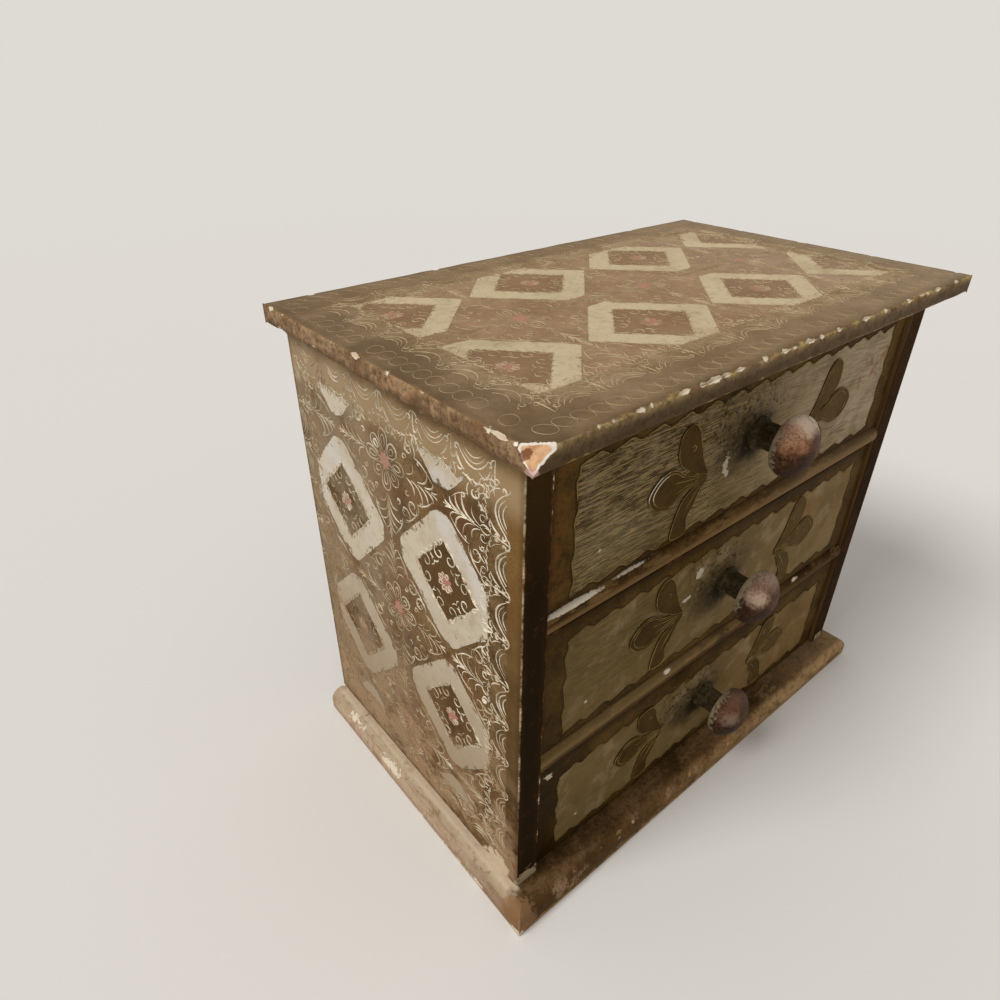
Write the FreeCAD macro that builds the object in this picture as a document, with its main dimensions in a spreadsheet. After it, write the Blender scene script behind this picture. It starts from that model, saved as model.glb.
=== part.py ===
"""A small gilded wooden chest of three drawers for jewellery.

A moulded base board and a top board with a rounded edge hold two side panels, two full-depth
dividers in stopped housings and a thin back panel in a rebate. Each drawer has a lapped front,
two sides, a back, a bottom that is let into the front, a cloth lining and a turned knob on a screw.

The chest stands on z = 0, its front looks along -Y, and the origin is under the middle of its
outer box, which the knobs and the back edges of the boards end. All sizes are millimetres.
"""
import FreeCAD
import Part
import Sketcher
import os

DRIVING_SIZES = [
    # Case
    ("case_width", 178, "outside of one side panel to outside of the other"),
    ("case_depth", 108, "front edge of the side panels to their rear edge"),
    ("case_height", 152, "top of the base board to the underside of the top board"),
    ("side_thickness", 8, "side panels; their front edges show as the stiles"),
    ("overhang_side", 6, "top and base boards past the side panels, left and right"),
    ("overhang_front", 8.5, "top and base boards past the side panels, in front"),
    ("top_thickness", 6, "top board"),
    ("top_round", 2, "rounding of the top board's upper edges"),
    ("base_thickness", 8.5, "base board"),
    ("base_round", 4.5, "quarter round along the front and ends of the base board"),
    ("soft_edge", 0.6, "small rounding that gesso and gilding leave on a sharp edge"),
    # Dividers and their housings in the side panels
    ("divider_thickness", 6, "boards between the drawers"),
    ("divider_nose", 2.4, "rounding of a divider's front edge, above and below"),
    ("bottom_bay", 46, "clear height for the bottom drawer"),
    ("middle_bay", 46, "clear height for the middle drawer"),
    ("housing_depth", 3, "groove in a side panel that holds a divider's end"),
    ("housing_stop", 7, "distance that the groove stops short of the front edge"),
    # Back
    ("back_thickness", 3, "back panel"),
    ("rebate_depth", 3.6, "rebate for the back panel, along Y"),
    ("rebate_width", 4, "rebate for the back panel, along X"),
    # Drawers
    ("drawer_recess", 1.5, "drawer fronts behind the front edges of the case"),
    ("gap_side", 0.6, "running gap at each side of a drawer"),
    ("gap_above", 0.8, "running gap above a drawer front"),
    ("gap_below", 0.3, "running gap below a drawer"),
    ("gap_rear", 0.6, "gap behind a closed drawer"),
    ("front_thickness", 7, "drawer front"),
    ("front_lip", 3, "part of the drawer front that covers the ends of the sides"),
    ("wall_thickness", 4, "drawer sides and back"),
    ("wall_drop", 3, "drawer sides and back lower than the top of the front"),
    ("bottom_thickness", 2.5, "drawer bottom"),
    ("lining_thickness", 0.8, "cloth lining on the drawer bottom"),
    ("lining_gap", 0.5, "lining short of the drawer's walls"),
    # Turned knobs and their screws
    ("knob_length", 17, "drawer front to the tip of the knob"),
    ("knob_foot_radius", 5, "small collar against the drawer front"),
    ("knob_collar", 0.8, "straight edge of the collar"),
    ("knob_neck_radius", 4, "straight neck"),
    ("knob_neck_start", 2.2, "drawer front to the start of the neck"),
    ("knob_neck_end", 7.4, "drawer front to where the neck meets the back of the head"),
    ("knob_head_radius", 9, "widest part of the head"),
    ("knob_widest", 11, "drawer front to the widest part of the head"),
    ("knob_rim_round", 3.6, "rounding of the rim"),
    ("knob_rim_angle", 40, "turn of the rim, from its widest part to its crisp rear edge"),
    ("screw_radius", 1.2, "shank of the knob screw"),
    ("screw_head_radius", 2.8, "flat-topped head inside the drawer"),
    ("screw_head_height", 1.7, "flat-topped head inside the drawer"),
    ("screw_depth", 9, "how far the screw goes into the knob"),
    ("screw_slot", 0.7, "width and depth of the slot"),
    ("fixing_clearance", 0.05, "gap all round each nail, pin and screw"),
    # Cut nails, brads and sprigs: stamped from plate, so their shanks are square at the head
    ("nail_width", 1.4, "nails up through the base board"),
    ("nail_length", 20, "nails up through the base board"),
    ("nail_inset", 16, "first and last nail from the ends of a side panel"),
    ("brad_width", 1.1, "brads through the back panel"),
    ("brad_length", 11, "brads through the back panel"),
    ("brad_inset", 16, "first and last brad from the ends of the back panel"),
    ("pin_width", 1, "headless pins through the drawer sides"),
    ("pin_length", 12, "headless pins through the drawer sides"),
    ("pin_inset", 8, "pins from the edges of a drawer side"),
]

NAIL_COUNT = 3
BRAD_COUNT = 4
HEAD_RATIO = 2.2
HEAD_HEIGHT = 0.4
TIP_RATIO = 0.4
SPARE_DEPTH = 1
TOLERANCE = 1e-3

# Straight steps in the round stretches of a knob's outline, from the rear edge to the tip
RIM_STEPS = 5
DOME_STEPS = 3

# Places along Y and Z that several pieces share
CASE_FRONT = "((Sizes.knob_length - Sizes.drawer_recess - Sizes.case_depth) / 2)"
BOARD_WIDTH = "(Sizes.case_width + 2 * Sizes.overhang_side)"
BOARD_DEPTH = "(Sizes.case_depth + Sizes.overhang_front)"
CLEAR_DEPTH = "(Sizes.case_depth - Sizes.rebate_depth)"
LOWER_DIVIDER_FOOT = "Sizes.base_thickness + Sizes.bottom_bay"
MIDDLE_BAY_FOOT = f"{LOWER_DIVIDER_FOOT} + Sizes.divider_thickness"
UPPER_DIVIDER_FOOT = f"{MIDDLE_BAY_FOOT} + Sizes.middle_bay"
TOP_BAY_FOOT = f"{UPPER_DIVIDER_FOOT} + Sizes.divider_thickness"
TOP_BAY = "(Sizes.case_height - Sizes.bottom_bay - Sizes.middle_bay - 2 * Sizes.divider_thickness)"

# Sizes that the pieces of a drawer share
DRAWER_WIDTH = "(Sizes.case_width - 2 * Sizes.side_thickness - 2 * Sizes.gap_side)"
DRAWER_LENGTH = f"({CLEAR_DEPTH} - Sizes.gap_rear - Sizes.drawer_recess)"
WALL_LENGTH = f"({DRAWER_LENGTH} - Sizes.front_lip)"
INNER_WIDTH = f"({DRAWER_WIDTH} - 2 * Sizes.wall_thickness)"
INNER_LENGTH = f"({DRAWER_LENGTH} - Sizes.front_thickness - Sizes.wall_thickness)"

# Distances from one nail or brad to the next
NAIL_PITCH = f"(Sizes.case_depth - 2 * Sizes.nail_inset) / {NAIL_COUNT - 1}"
BRAD_PITCH = f"(Sizes.case_height - 2 * Sizes.brad_inset) / {BRAD_COUNT - 1}"

doc = FreeCAD.newDocument("JewelleryChest")
sizes = doc.addObject("Spreadsheet::Sheet", "Sizes")
for row, (alias, value, meaning) in enumerate(DRIVING_SIZES, start=1):
    sizes.set(f"A{row}", alias)
    sizes.set(f"B{row}", str(value))
    sizes.set(f"C{row}", meaning)
    sizes.setAlias(f"B{row}", alias)
doc.recompute()

finished = []


def value_of(expression):
    """The present value of an expression on the driving sizes."""
    result = sizes.evalExpression(expression)
    return float(getattr(result, "Value", result))


def new_body(label, x="0", y="0", z="0"):
    """A named sub-part whose place in the chest is bound to the driving sizes."""
    body = doc.addObject("PartDesign::Body", label)
    body.Label = label
    for axis, expression in (("x", x), ("y", y), ("z", z)):
        body.setExpression(f"Placement.Base.{axis}", expression)
    finished.append(body)
    return body


def origin_feature(body, role):
    """One of the body's own origin axes or planes."""
    return next(f for f in body.Origin.OriginFeatures if f.Role == role)


def sketch_on(body, plane, name, offset="0"):
    """A sketch on one of the body's own origin planes, moved along its normal."""
    sketch = body.newObject("Sketcher::SketchObject", name)
    sketch.AttachmentSupport = [(origin_feature(body, plane), "")]
    sketch.MapMode = "FlatFace"
    sketch.setExpression("AttachmentOffset.Base.z", offset)
    return sketch


def pin_point(sketch, geometry, vertex, x, y):
    """Hold one end of a line or arc at a place given by two expressions."""
    for kind, expression in (("DistanceX", x), ("DistanceY", y)):
        value = value_of(expression)
        index = sketch.addConstraint(Sketcher.Constraint(kind, -1, 1, geometry, vertex, value))
        sketch.setExpression(f"Constraints[{index}]", expression)


def draw_outline(sketch, corners):
    """A closed outline of straight lines and arcs, added to what the sketch already has.

    Each corner is (x, y) or, where an arc leads to the next corner, (x, y, radius, side): the
    arc's centre lies to the left of the way to the next corner where side is 1, and to the
    right where it is -1.
    """
    points = [FreeCAD.Vector(value_of(c[0]), value_of(c[1]), 0) for c in corners]
    ends = []
    first = sketch.GeometryCount
    for index, corner in enumerate(corners):
        start = points[index]
        end = points[(index + 1) % len(points)]
        if len(corner) == 2:
            sketch.addGeometry(Part.LineSegment(start, end))
            ends.append((1, 2))
            continue
        radius, side = value_of(corner[2]), corner[3]
        way = end - start
        across = FreeCAD.Vector(-way.y, way.x, 0).normalize()
        rise = (radius**2 - (way.Length / 2) ** 2) ** 0.5
        centre = (start + end) * 0.5 + across * (rise * side)
        middle = centre - across * (radius * side)
        sketch.addGeometry(Part.Arc(start, middle, end))
        ends.append((1, 2) if side > 0 else (2, 1))
        arc_radius = sketch.addConstraint(Sketcher.Constraint("Radius", first + index, radius))
        sketch.setExpression(f"Constraints[{arc_radius}]", corner[2])
    for index, corner in enumerate(corners):
        pin_point(sketch, first + index, ends[index][0], corner[0], corner[1])
        following = (index + 1) % len(corners)
        join = (first + index, ends[index][1], first + following, ends[following][0])
        sketch.addConstraint(Sketcher.Constraint("Coincident", *join))


def rectangle(width, depth, x="0", y="0"):
    """The corners of a rectangle with its first corner at x, y."""
    return [(x, y), (f"{x} + {width}", y), (f"{x} + {width}", f"{y} + {depth}"), (x, f"{y} + {depth}")]


def pad(body, corners, thickness, plane="XY_Plane"):
    """Draw an outline on a plane of the body and give it a thickness."""
    sketch = sketch_on(body, plane, f"{body.Name}_outline")
    draw_outline(sketch, corners)
    feature = body.newObject("PartDesign::Pad", f"{body.Name}_pad")
    feature.Profile = sketch
    feature.setExpression("Length", thickness)
    doc.recompute()


def cut(body, sketch, name, depth, reverse):
    """Cut a drawn outline into the body and make sure that it took wood away."""
    before = body.Shape.Volume
    pocket = body.newObject("PartDesign::Pocket", name)
    pocket.Profile = sketch
    pocket.setExpression("Length", depth)
    pocket.Reversed = reverse
    doc.recompute()
    if not body.Shape.Volume < before - TOLERANCE:
        raise RuntimeError(f"{name} cuts nothing")


def drill(body, plane, name, x, y, radius, depth):
    """One round hole; its centre is a pair of expressions on the plane."""
    sketch = sketch_on(body, plane, f"{name}_centre")
    centre = FreeCAD.Vector(value_of(x), value_of(y), 0)
    sketch.addGeometry(Part.Circle(centre, FreeCAD.Vector(0, 0, 1), value_of(radius)))
    size = sketch.addConstraint(Sketcher.Constraint("Radius", 0, value_of(radius)))
    sketch.setExpression(f"Constraints[{size}]", radius)
    pin_point(sketch, 0, 3, x, y)
    cut(body, sketch, name, depth, False)


def punch(body, plane, name, centres, width, depth, offset="0", reverse=False, length=None):
    """The holes that square nails fill; each centre is a pair of expressions on the plane.

    A hole is as wide as the nail and its clearance along both axes of the plane, or as long as
    length along the first one where the nail's head lies in it.
    """
    sketch = sketch_on(body, plane, f"{name}_outlines", offset)
    across = f"({width} + 2 * Sizes.fixing_clearance)"
    along = f"({length or width} + 2 * Sizes.fixing_clearance)"
    for x, y in centres:
        draw_outline(sketch, rectangle(along, across, f"{x} - {along} / 2", f"{y} - {across} / 2"))
    cut(body, sketch, name, depth, reverse)


def round_edges(body, name, radius, wanted):
    """Round the edges whose bounding box passes the test."""
    tip = body.Tip
    edges = enumerate(tip.Shape.Edges, start=1)
    names = [f"Edge{index}" for index, edge in edges if wanted(edge.BoundBox)]
    if not names:
        raise RuntimeError(f"{name} finds no edge")
    fillet = body.newObject("PartDesign::Fillet", name)
    fillet.Base = (tip, names)
    fillet.setExpression("Radius", radius)
    doc.recompute()


def turned(body, corners):
    """A turned piece: the outline on the body's XY plane goes once round the body's Y axis."""
    sketch = sketch_on(body, "XY_Plane", f"{body.Name}_profile")
    draw_outline(sketch, corners)
    feature = body.newObject("PartDesign::Revolution", f"{body.Name}_turning")
    feature.Profile = sketch
    feature.ReferenceAxis = (sketch, ["V_Axis"])
    feature.Angle = 360
    doc.recompute()


def near(value, expression):
    """True where a coordinate is the value of an expression."""
    return abs(value - value_of(expression)) < TOLERANCE


def repeat(body, rows):
    """Copies of the body's one solid, in rows (axis, pitch, count) and mirrored left to right."""
    original = body.Tip
    multi = body.newObject("PartDesign::MultiTransform", f"{body.Name}_copies")
    steps = []
    for axis, pitch, count in rows:
        row = body.newObject("PartDesign::LinearPattern", f"{body.Name}_row_{axis[0]}")
        row.Direction = (origin_feature(body, axis), [""])
        row.Occurrences = count
        row.setExpression("Length", f"{pitch} * {count - 1}")
        steps.append(row)
    pair = body.newObject("PartDesign::Mirrored", f"{body.Name}_pair")
    pair.MirrorPlane = (origin_feature(body, "YZ_Plane"), [""])
    steps.append(pair)
    multi.Originals = [original]
    multi.Transformations = steps
    body.Tip = multi
    doc.recompute()


def cut_nail(body, plane, width, length, start, way, head=True):
    """A nail stamped from plate: even in thickness, and tapering in width from head to tip.

    The middle of its head is at start, a pair of expressions on the plane, and way is the
    direction from there to the tip, as (1, 0), (-1, 0), (0, 1) or (0, -1).
    """
    half, tip = f"{width} / 2", f"{TIP_RATIO} * {width} / 2"
    neck = f"{HEAD_HEIGHT}" if head else "0"
    right = [(half, neck), (tip, length)]
    if head:
        wing = f"{HEAD_RATIO} * {half}"
        right = [(wing, "0"), (wing, neck)] + right
    left = [(f"-{out}", down) for out, down in reversed(right)]
    outline = []
    for out, down in right + left:
        x = f"{start[0]} + ({way[0]}) * ({down}) - ({way[1]}) * ({out})"
        y = f"{start[1]} + ({way[1]}) * ({down}) + ({way[0]}) * ({out})"
        outline.append((x, y))
    sketch = sketch_on(body, plane, f"{body.Name}_outline")
    draw_outline(sketch, outline)
    feature = body.newObject("PartDesign::Pad", f"{body.Name}_stamping")
    feature.Profile = sketch
    feature.setExpression("Length", width)
    feature.SideType = "Symmetric"
    doc.recompute()


def make_base_board():
    """The board that the chest stands on, with a quarter round along three edges."""
    base = new_body("base_board", f"-{BOARD_WIDTH} / 2", f"{CASE_FRONT} - Sizes.overhang_front")
    pad(base, rectangle(BOARD_WIDTH, BOARD_DEPTH), "Sizes.base_thickness")
    drill_base_holes(base)
    top = "Sizes.base_thickness"
    round_edges(
        base,
        "base_quarter_round",
        "Sizes.base_round",
        lambda box: near(box.ZMin, top)
        and near(box.ZMax, top)
        and (near(box.YMax, "0") or near(box.XMax, "0") or near(box.XMin, BOARD_WIDTH)),
    )


def nail_places():
    """Places of the base nails along Y, from the front edge of the side panels."""
    return [f"Sizes.nail_inset + {i} * {NAIL_PITCH}" for i in range(NAIL_COUNT)]


def drill_base_holes(base):
    """Holes for the nails that go up into the side panels, with flush seats for their heads."""
    left = "Sizes.overhang_side + Sizes.side_thickness / 2"
    right = f"{BOARD_WIDTH} - ({left})"
    centres = []
    for x in (left, right):
        centres += [(x, f"Sizes.overhang_front + {y}") for y in nail_places()]
    width, head = "Sizes.nail_width", f"{HEAD_RATIO} * Sizes.nail_width"
    punch(base, "XY_Plane", "base_nail_holes", centres, width, "Sizes.base_thickness", reverse=True)
    punch(base, "XY_Plane", "base_nail_seats", centres, width, f"{HEAD_HEIGHT}", "0", True, head)


def make_top_board():
    """The top board: a rounded upper edge and a crisp lower one, both softened by gesso."""
    foot = "Sizes.base_thickness + Sizes.case_height"
    top = new_body("top_board", f"-{BOARD_WIDTH} / 2", f"{CASE_FRONT} - Sizes.overhang_front", foot)
    pad(top, rectangle(BOARD_WIDTH, BOARD_DEPTH), "Sizes.top_thickness")
    round_edges(
        top,
        "top_upper_rounding",
        "Sizes.top_round",
        lambda box: near(box.ZMin, "Sizes.top_thickness") and not near(box.YMin, BOARD_DEPTH),
    )
    round_edges(
        top,
        "top_lower_rounding",
        "Sizes.soft_edge",
        lambda box: near(box.ZMax, "0") and not near(box.YMin, BOARD_DEPTH),
    )


def make_side_panel(label, left):
    """A side panel with a rebate for the back and a stopped housing for each divider.

    Its own X runs from the outer face on the left panel, and from the inner face on the right.
    """
    thick = "Sizes.side_thickness"
    if left:
        x = "-Sizes.case_width / 2"
        inner, ledge, outer = thick, f"{thick} - Sizes.rebate_width", "0"
    else:
        x = f"Sizes.case_width / 2 - {thick}"
        inner, ledge, outer = "0", "Sizes.rebate_width", thick
    side = new_body(label, x, CASE_FRONT, "Sizes.base_thickness")
    section = [
        (outer, "0"),
        (inner, "0"),
        (inner, CLEAR_DEPTH),
        (ledge, CLEAR_DEPTH),
        (ledge, "Sizes.case_depth"),
        (outer, "Sizes.case_depth"),
    ]
    pad(side, section, "Sizes.case_height")
    length = f"{CLEAR_DEPTH} - Sizes.housing_stop"
    feet = (("lower", "Sizes.bottom_bay"),
            ("upper", "Sizes.bottom_bay + Sizes.divider_thickness + Sizes.middle_bay"))
    for name, foot in feet:
        sketch = sketch_on(side, "YZ_Plane", f"{label}_{name}_housing_outline", inner)
        draw_outline(sketch, rectangle(length, "Sizes.divider_thickness", "Sizes.housing_stop", foot))
        cut(side, sketch, f"{label}_{name}_housing", "Sizes.housing_depth", not left)
    drill_side_panel(side, label, left)
    round_edges(
        side,
        f"{label}_soft_arris",
        "Sizes.soft_edge",
        lambda box: near(box.YMax, "0") and box.ZLength > box.XLength and near(box.XMin, outer),
    )


def drill_side_panel(side, label, left):
    """Pilot holes for the base nails, from below, and for the back brads, from the rear."""
    middle = "Sizes.side_thickness / 2"
    depth = f"Sizes.nail_length - Sizes.base_thickness + {SPARE_DEPTH}"
    centres = [(middle, y) for y in nail_places()]
    punch(side, "XY_Plane", f"{label}_nail_holes", centres, "Sizes.nail_width", depth, reverse=True)
    x = "Sizes.rebate_width / 2"
    if left:
        x = f"Sizes.side_thickness - {x}"
    width = "Sizes.brad_width"
    depth = f"Sizes.brad_length - Sizes.back_thickness + {SPARE_DEPTH}"
    centres = [(x, z) for z in brad_places()]
    punch(side, "XZ_Plane", f"{label}_brad_holes", centres, width, depth, f"-{CLEAR_DEPTH}", True)


def brad_places():
    """Places of the back brads along Z, from the foot of the side panels."""
    return [f"Sizes.brad_inset + {i} * {BRAD_PITCH}" for i in range(BRAD_COUNT)]


def make_divider(label, foot):
    """A full-depth board whose ends sit in the housings; its front edge is a bullnose."""
    side = "Sizes.side_thickness"
    depth = "Sizes.housing_depth"
    full = f"(Sizes.case_width - 2 * {side} + 2 * {depth})"
    stop = "Sizes.housing_stop"
    divider = new_body(label, f"-{full} / 2", CASE_FRONT, foot)
    outline = [
        (depth, "0"),
        (f"{full} - {depth}", "0"),
        (f"{full} - {depth}", stop),
        (full, stop),
        (full, CLEAR_DEPTH),
        ("0", CLEAR_DEPTH),
        ("0", stop),
        (depth, stop),
    ]
    pad(divider, outline, "Sizes.divider_thickness")
    round_edges(
        divider,
        f"{label}_bullnose",
        "Sizes.divider_nose",
        lambda box: near(box.YMax, "0") and box.ZLength < TOLERANCE,
    )


def make_back_panel():
    """The thin panel that closes the back, in the rebates of the side panels."""
    ledge = "(Sizes.side_thickness - Sizes.rebate_width)"
    width = f"(Sizes.case_width - 2 * {ledge})"
    back = new_body("back_panel", f"-{width} / 2", f"{CASE_FRONT} + {CLEAR_DEPTH}", "Sizes.base_thickness")
    pad(back, rectangle(width, "Sizes.back_thickness"), "Sizes.case_height")
    inset = "Sizes.rebate_width / 2"
    centres = [(x, z) for x in (inset, f"{width} - {inset}") for z in brad_places()]
    punch(back, "XZ_Plane", "back_brad_holes", centres, "Sizes.brad_width", "Sizes.back_thickness")


def make_base_nails():
    """The nails that hold the base board to the side panels, up from below."""
    nails = new_body("base_nails", "0", f"{CASE_FRONT} + Sizes.nail_inset")
    row = "(Sizes.case_width - Sizes.side_thickness) / 2"
    cut_nail(nails, "XZ_Plane", "Sizes.nail_width", "Sizes.nail_length", (row, "0"), (0, 1))
    repeat(nails, [("Y_Axis", NAIL_PITCH, NAIL_COUNT)])


def make_back_brads():
    """The brads through the back panel; their flat heads stand on it, inside the rebate."""
    length = f"Sizes.brad_length + {HEAD_HEIGHT}"
    y = f"{CASE_FRONT} + {CLEAR_DEPTH} + Sizes.back_thickness + {HEAD_HEIGHT}"
    brads = new_body("back_panel_brads", "0", y, "Sizes.base_thickness + Sizes.brad_inset")
    row = "(Sizes.case_width / 2 - Sizes.side_thickness + Sizes.rebate_width / 2)"
    cut_nail(brads, "XY_Plane", "Sizes.brad_width", length, (row, "0"), (0, -1))
    repeat(brads, [("Z_Axis", BRAD_PITCH, BRAD_COUNT)])


def make_drawer(name, foot, bay):
    """One drawer, from the floor of its bay and the bay's clear height."""
    y = f"{CASE_FRONT} + Sizes.drawer_recess"
    z = f"{foot} + Sizes.gap_below"
    height = f"({bay} - Sizes.gap_above - Sizes.gap_below)"
    wall_height = f"({height} - Sizes.bottom_thickness - Sizes.wall_drop)"
    wall_foot = f"{z} + Sizes.bottom_thickness"
    make_drawer_front(name, y, z, height, wall_height)
    make_drawer_side(f"{name}_left_side", f"-{DRAWER_WIDTH} / 2", y, wall_foot, wall_height)
    right = f"{DRAWER_WIDTH} / 2 - Sizes.wall_thickness"
    make_drawer_side(f"{name}_right_side", right, y, wall_foot, wall_height)
    make_drawer_back(name, y, wall_foot, wall_height)
    make_drawer_bottom(name, y, z)
    make_drawer_lining(name, y, wall_foot)
    make_drawer_pins(name, y, wall_foot, wall_height)
    middle = f"{z} + {height} / 2"
    make_knob(name, y, middle)
    make_knob_screw(name, y, middle)


def make_drawer_front(name, y, z, height, wall_height):
    """The front: a lip covers the ends of the sides, and a rebate takes the bottom."""
    label = f"{name}_front"
    width, thick, lip, wall = (
        DRAWER_WIDTH, "Sizes.front_thickness", "Sizes.front_lip", "Sizes.wall_thickness")
    front = new_body(label, f"-{width} / 2", y, z)
    section = [
        ("0", "0"),
        (width, "0"),
        (width, lip),
        (f"{width} - {wall}", lip),
        (f"{width} - {wall}", thick),
        (wall, thick),
        (wall, lip),
        ("0", lip),
    ]
    pad(front, section, height)
    sketch = sketch_on(front, "YZ_Plane", f"{label}_bottom_rebate_outline")
    draw_outline(sketch, rectangle(f"{thick} - {lip}", "Sizes.bottom_thickness", lip))
    cut(front, sketch, f"{label}_bottom_rebate", width, True)
    hole = "Sizes.screw_radius + Sizes.fixing_clearance"
    drill(front, "XZ_Plane", f"{label}_screw_hole", f"{width} / 2", f"{height} / 2", hole, thick)
    y_pin = f"({lip} + {thick}) / 2"
    centres = [(y_pin, f"Sizes.bottom_thickness + {h}") for h in pin_heights(wall_height)]
    punch_for_pins(front, label, centres, wall, f"{width} - {wall}")
    round_edges(
        front,
        f"{label}_soft_edges",
        "Sizes.soft_edge",
        lambda box: near(box.YMax, "0") and box.DiagonalLength > value_of(wall),
    )


def pin_heights(wall_height):
    """Heights of the two pins at each end of a drawer side, from the foot of the side."""
    return ("Sizes.pin_inset", f"{wall_height} - Sizes.pin_inset")


def punch_for_pins(body, label, centres, left, right):
    """Blind holes for the pins, into the body from the faces at left and right."""
    width = "Sizes.pin_width"
    depth = f"Sizes.pin_length - Sizes.wall_thickness + {SPARE_DEPTH}"
    punch(body, "YZ_Plane", f"{label}_left_pin_holes", centres, width, depth, left, True)
    punch(body, "YZ_Plane", f"{label}_right_pin_holes", centres, width, depth, right, False)


def make_drawer_side(label, x, y, z, wall_height):
    """A drawer side, from behind the front's lip to the rear, with its pin holes."""
    side = new_body(label, x, f"{y} + Sizes.front_lip", z)
    pad(side, rectangle("Sizes.wall_thickness", WALL_LENGTH), wall_height)
    front_row = "(Sizes.front_thickness - Sizes.front_lip) / 2"
    rear_row = f"{WALL_LENGTH} - Sizes.wall_thickness / 2"
    centres = [(row, h) for row in (front_row, rear_row) for h in pin_heights(wall_height)]
    through = "Sizes.wall_thickness"
    punch(side, "YZ_Plane", f"{label}_pin_holes", centres, "Sizes.pin_width", through, "0", True)


def make_drawer_back(name, y, z, wall_height):
    """The drawer's back, between its sides."""
    label = f"{name}_back"
    back = new_body(label, f"-{INNER_WIDTH} / 2", f"{y} + {DRAWER_LENGTH} - Sizes.wall_thickness", z)
    pad(back, rectangle(INNER_WIDTH, "Sizes.wall_thickness"), wall_height)
    centres = [("Sizes.wall_thickness / 2", h) for h in pin_heights(wall_height)]
    punch_for_pins(back, label, centres, "0", INNER_WIDTH)


def make_drawer_bottom(name, y, z):
    """The bottom board, under the sides and back and let into the front."""
    bottom = new_body(f"{name}_bottom", f"-{DRAWER_WIDTH} / 2", f"{y} + Sizes.front_lip", z)
    pad(bottom, rectangle(DRAWER_WIDTH, WALL_LENGTH), "Sizes.bottom_thickness")


def make_drawer_lining(name, y, z):
    """The cloth lining that lies on the bottom board."""
    gap = "Sizes.lining_gap"
    x = f"-{INNER_WIDTH} / 2 + {gap}"
    lining = new_body(f"{name}_lining", x, f"{y} + Sizes.front_thickness + {gap}", z)
    cloth = rectangle(f"{INNER_WIDTH} - 2 * {gap}", f"{INNER_LENGTH} - 2 * {gap}")
    pad(lining, cloth, "Sizes.lining_thickness")


def make_drawer_pins(name, y, z, wall_height):
    """The pins through the sides, into the shoulders of the front and the ends of the back."""
    front_row = "(Sizes.front_lip + Sizes.front_thickness) / 2"
    rear_row = f"{DRAWER_LENGTH} - Sizes.wall_thickness / 2"
    pins = new_body(f"{name}_pins", "0", f"{y} + {front_row}", f"{z} + Sizes.pin_inset")
    start = (f"{DRAWER_WIDTH} / 2", "0")
    cut_nail(pins, "XY_Plane", "Sizes.pin_width", "Sizes.pin_length", start, (-1, 0), head=False)
    along = f"({rear_row} - {front_row})"
    up = f"({wall_height} - 2 * Sizes.pin_inset)"
    repeat(pins, [("Z_Axis", up, 2), ("Y_Axis", along, 2)])


def round_stretch(centre, radius, start, end, steps):
    """A round stretch of a turned outline as equal straight steps, from one angle to another.

    Such steps keep the facets of a small turned piece few, and stay within about a tenth of a
    millimetre of the true round.
    """
    points = []
    for i in range(steps + 1):
        angle = f"(({start}) + (({end}) - ({start})) * {i} / {steps})"
        points.append((f"{centre[0]} + {radius} * cos({angle})", f"{centre[1]} + {radius} * sin({angle})"))
    return points


def make_knob(name, y, z):
    """A turned knob: small collar, straight neck, crisp rear edge, thick rim and domed face.

    The dome is round about a point of the axis and runs smoothly into the rim. The knob is
    bored for its screw. Heights run from the drawer front.
    """
    knob = new_body(f"{name}_knob", "0", y, z)
    bore = "(Sizes.screw_radius + Sizes.fixing_clearance)"
    rim, neck, foot = "Sizes.knob_rim_round", "Sizes.knob_neck_radius", "Sizes.knob_foot_radius"
    rim_x = f"(Sizes.knob_head_radius - {rim})"
    ahead = "(Sizes.knob_length - Sizes.knob_widest)"
    dome = f"(({rim_x} ^ 2 + {ahead} ^ 2 - {rim} ^ 2) / (2 * ({ahead} - {rim})))"
    dome_y = f"(Sizes.knob_length - {dome})"
    dome_edge = f"atan((Sizes.knob_widest - {dome_y}) / {rim_x})"
    rear_edge = "(-Sizes.knob_rim_angle * 1 deg)"
    outline = [
        (bore, "0"),
        (foot, "0"),
        (foot, "Sizes.knob_collar"),
        (neck, "Sizes.knob_neck_start"),
        (neck, "Sizes.knob_neck_end"),
    ]
    outline += round_stretch((rim_x, "Sizes.knob_widest"), rim, rear_edge, dome_edge, RIM_STEPS)
    outline += round_stretch(("0", dome_y), dome, dome_edge, "90 deg", DOME_STEPS)[1:-1]
    outline += [
        ("0", "Sizes.knob_length"),
        ("0", f"Sizes.screw_depth + {SPARE_DEPTH}"),
        (bore, f"Sizes.screw_depth + {SPARE_DEPTH}"),
    ]
    turned(knob, [(x, f"-({height})") for x, height in outline])


def make_knob_screw(name, y, z):
    """The slotted flat-topped screw that holds the knob from inside the drawer."""
    screw = new_body(f"{name}_knob_screw", "0", f"{y} + Sizes.front_thickness", z)
    shank, head, height = "Sizes.screw_radius", "Sizes.screw_head_radius", "Sizes.screw_head_height"
    length = "(Sizes.front_thickness + Sizes.screw_depth)"
    profile = [
        ("0", f"-{length}"),
        (shank, f"-{length}"),
        (shank, "0"),
        (head, "0"),
        (head, height),
        ("0", height),
    ]
    turned(screw, profile)
    slot = "Sizes.screw_slot"
    sketch = sketch_on(screw, "XZ_Plane", f"{screw.Name}_slot_outline", f"-({height} + {SPARE_DEPTH})")
    draw_outline(sketch, rectangle(f"2 * {head}", slot, f"-{head}", f"-{slot} / 2"))
    cut(screw, sketch, f"{screw.Name}_slot", f"{slot} + {SPARE_DEPTH}", True)


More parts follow.
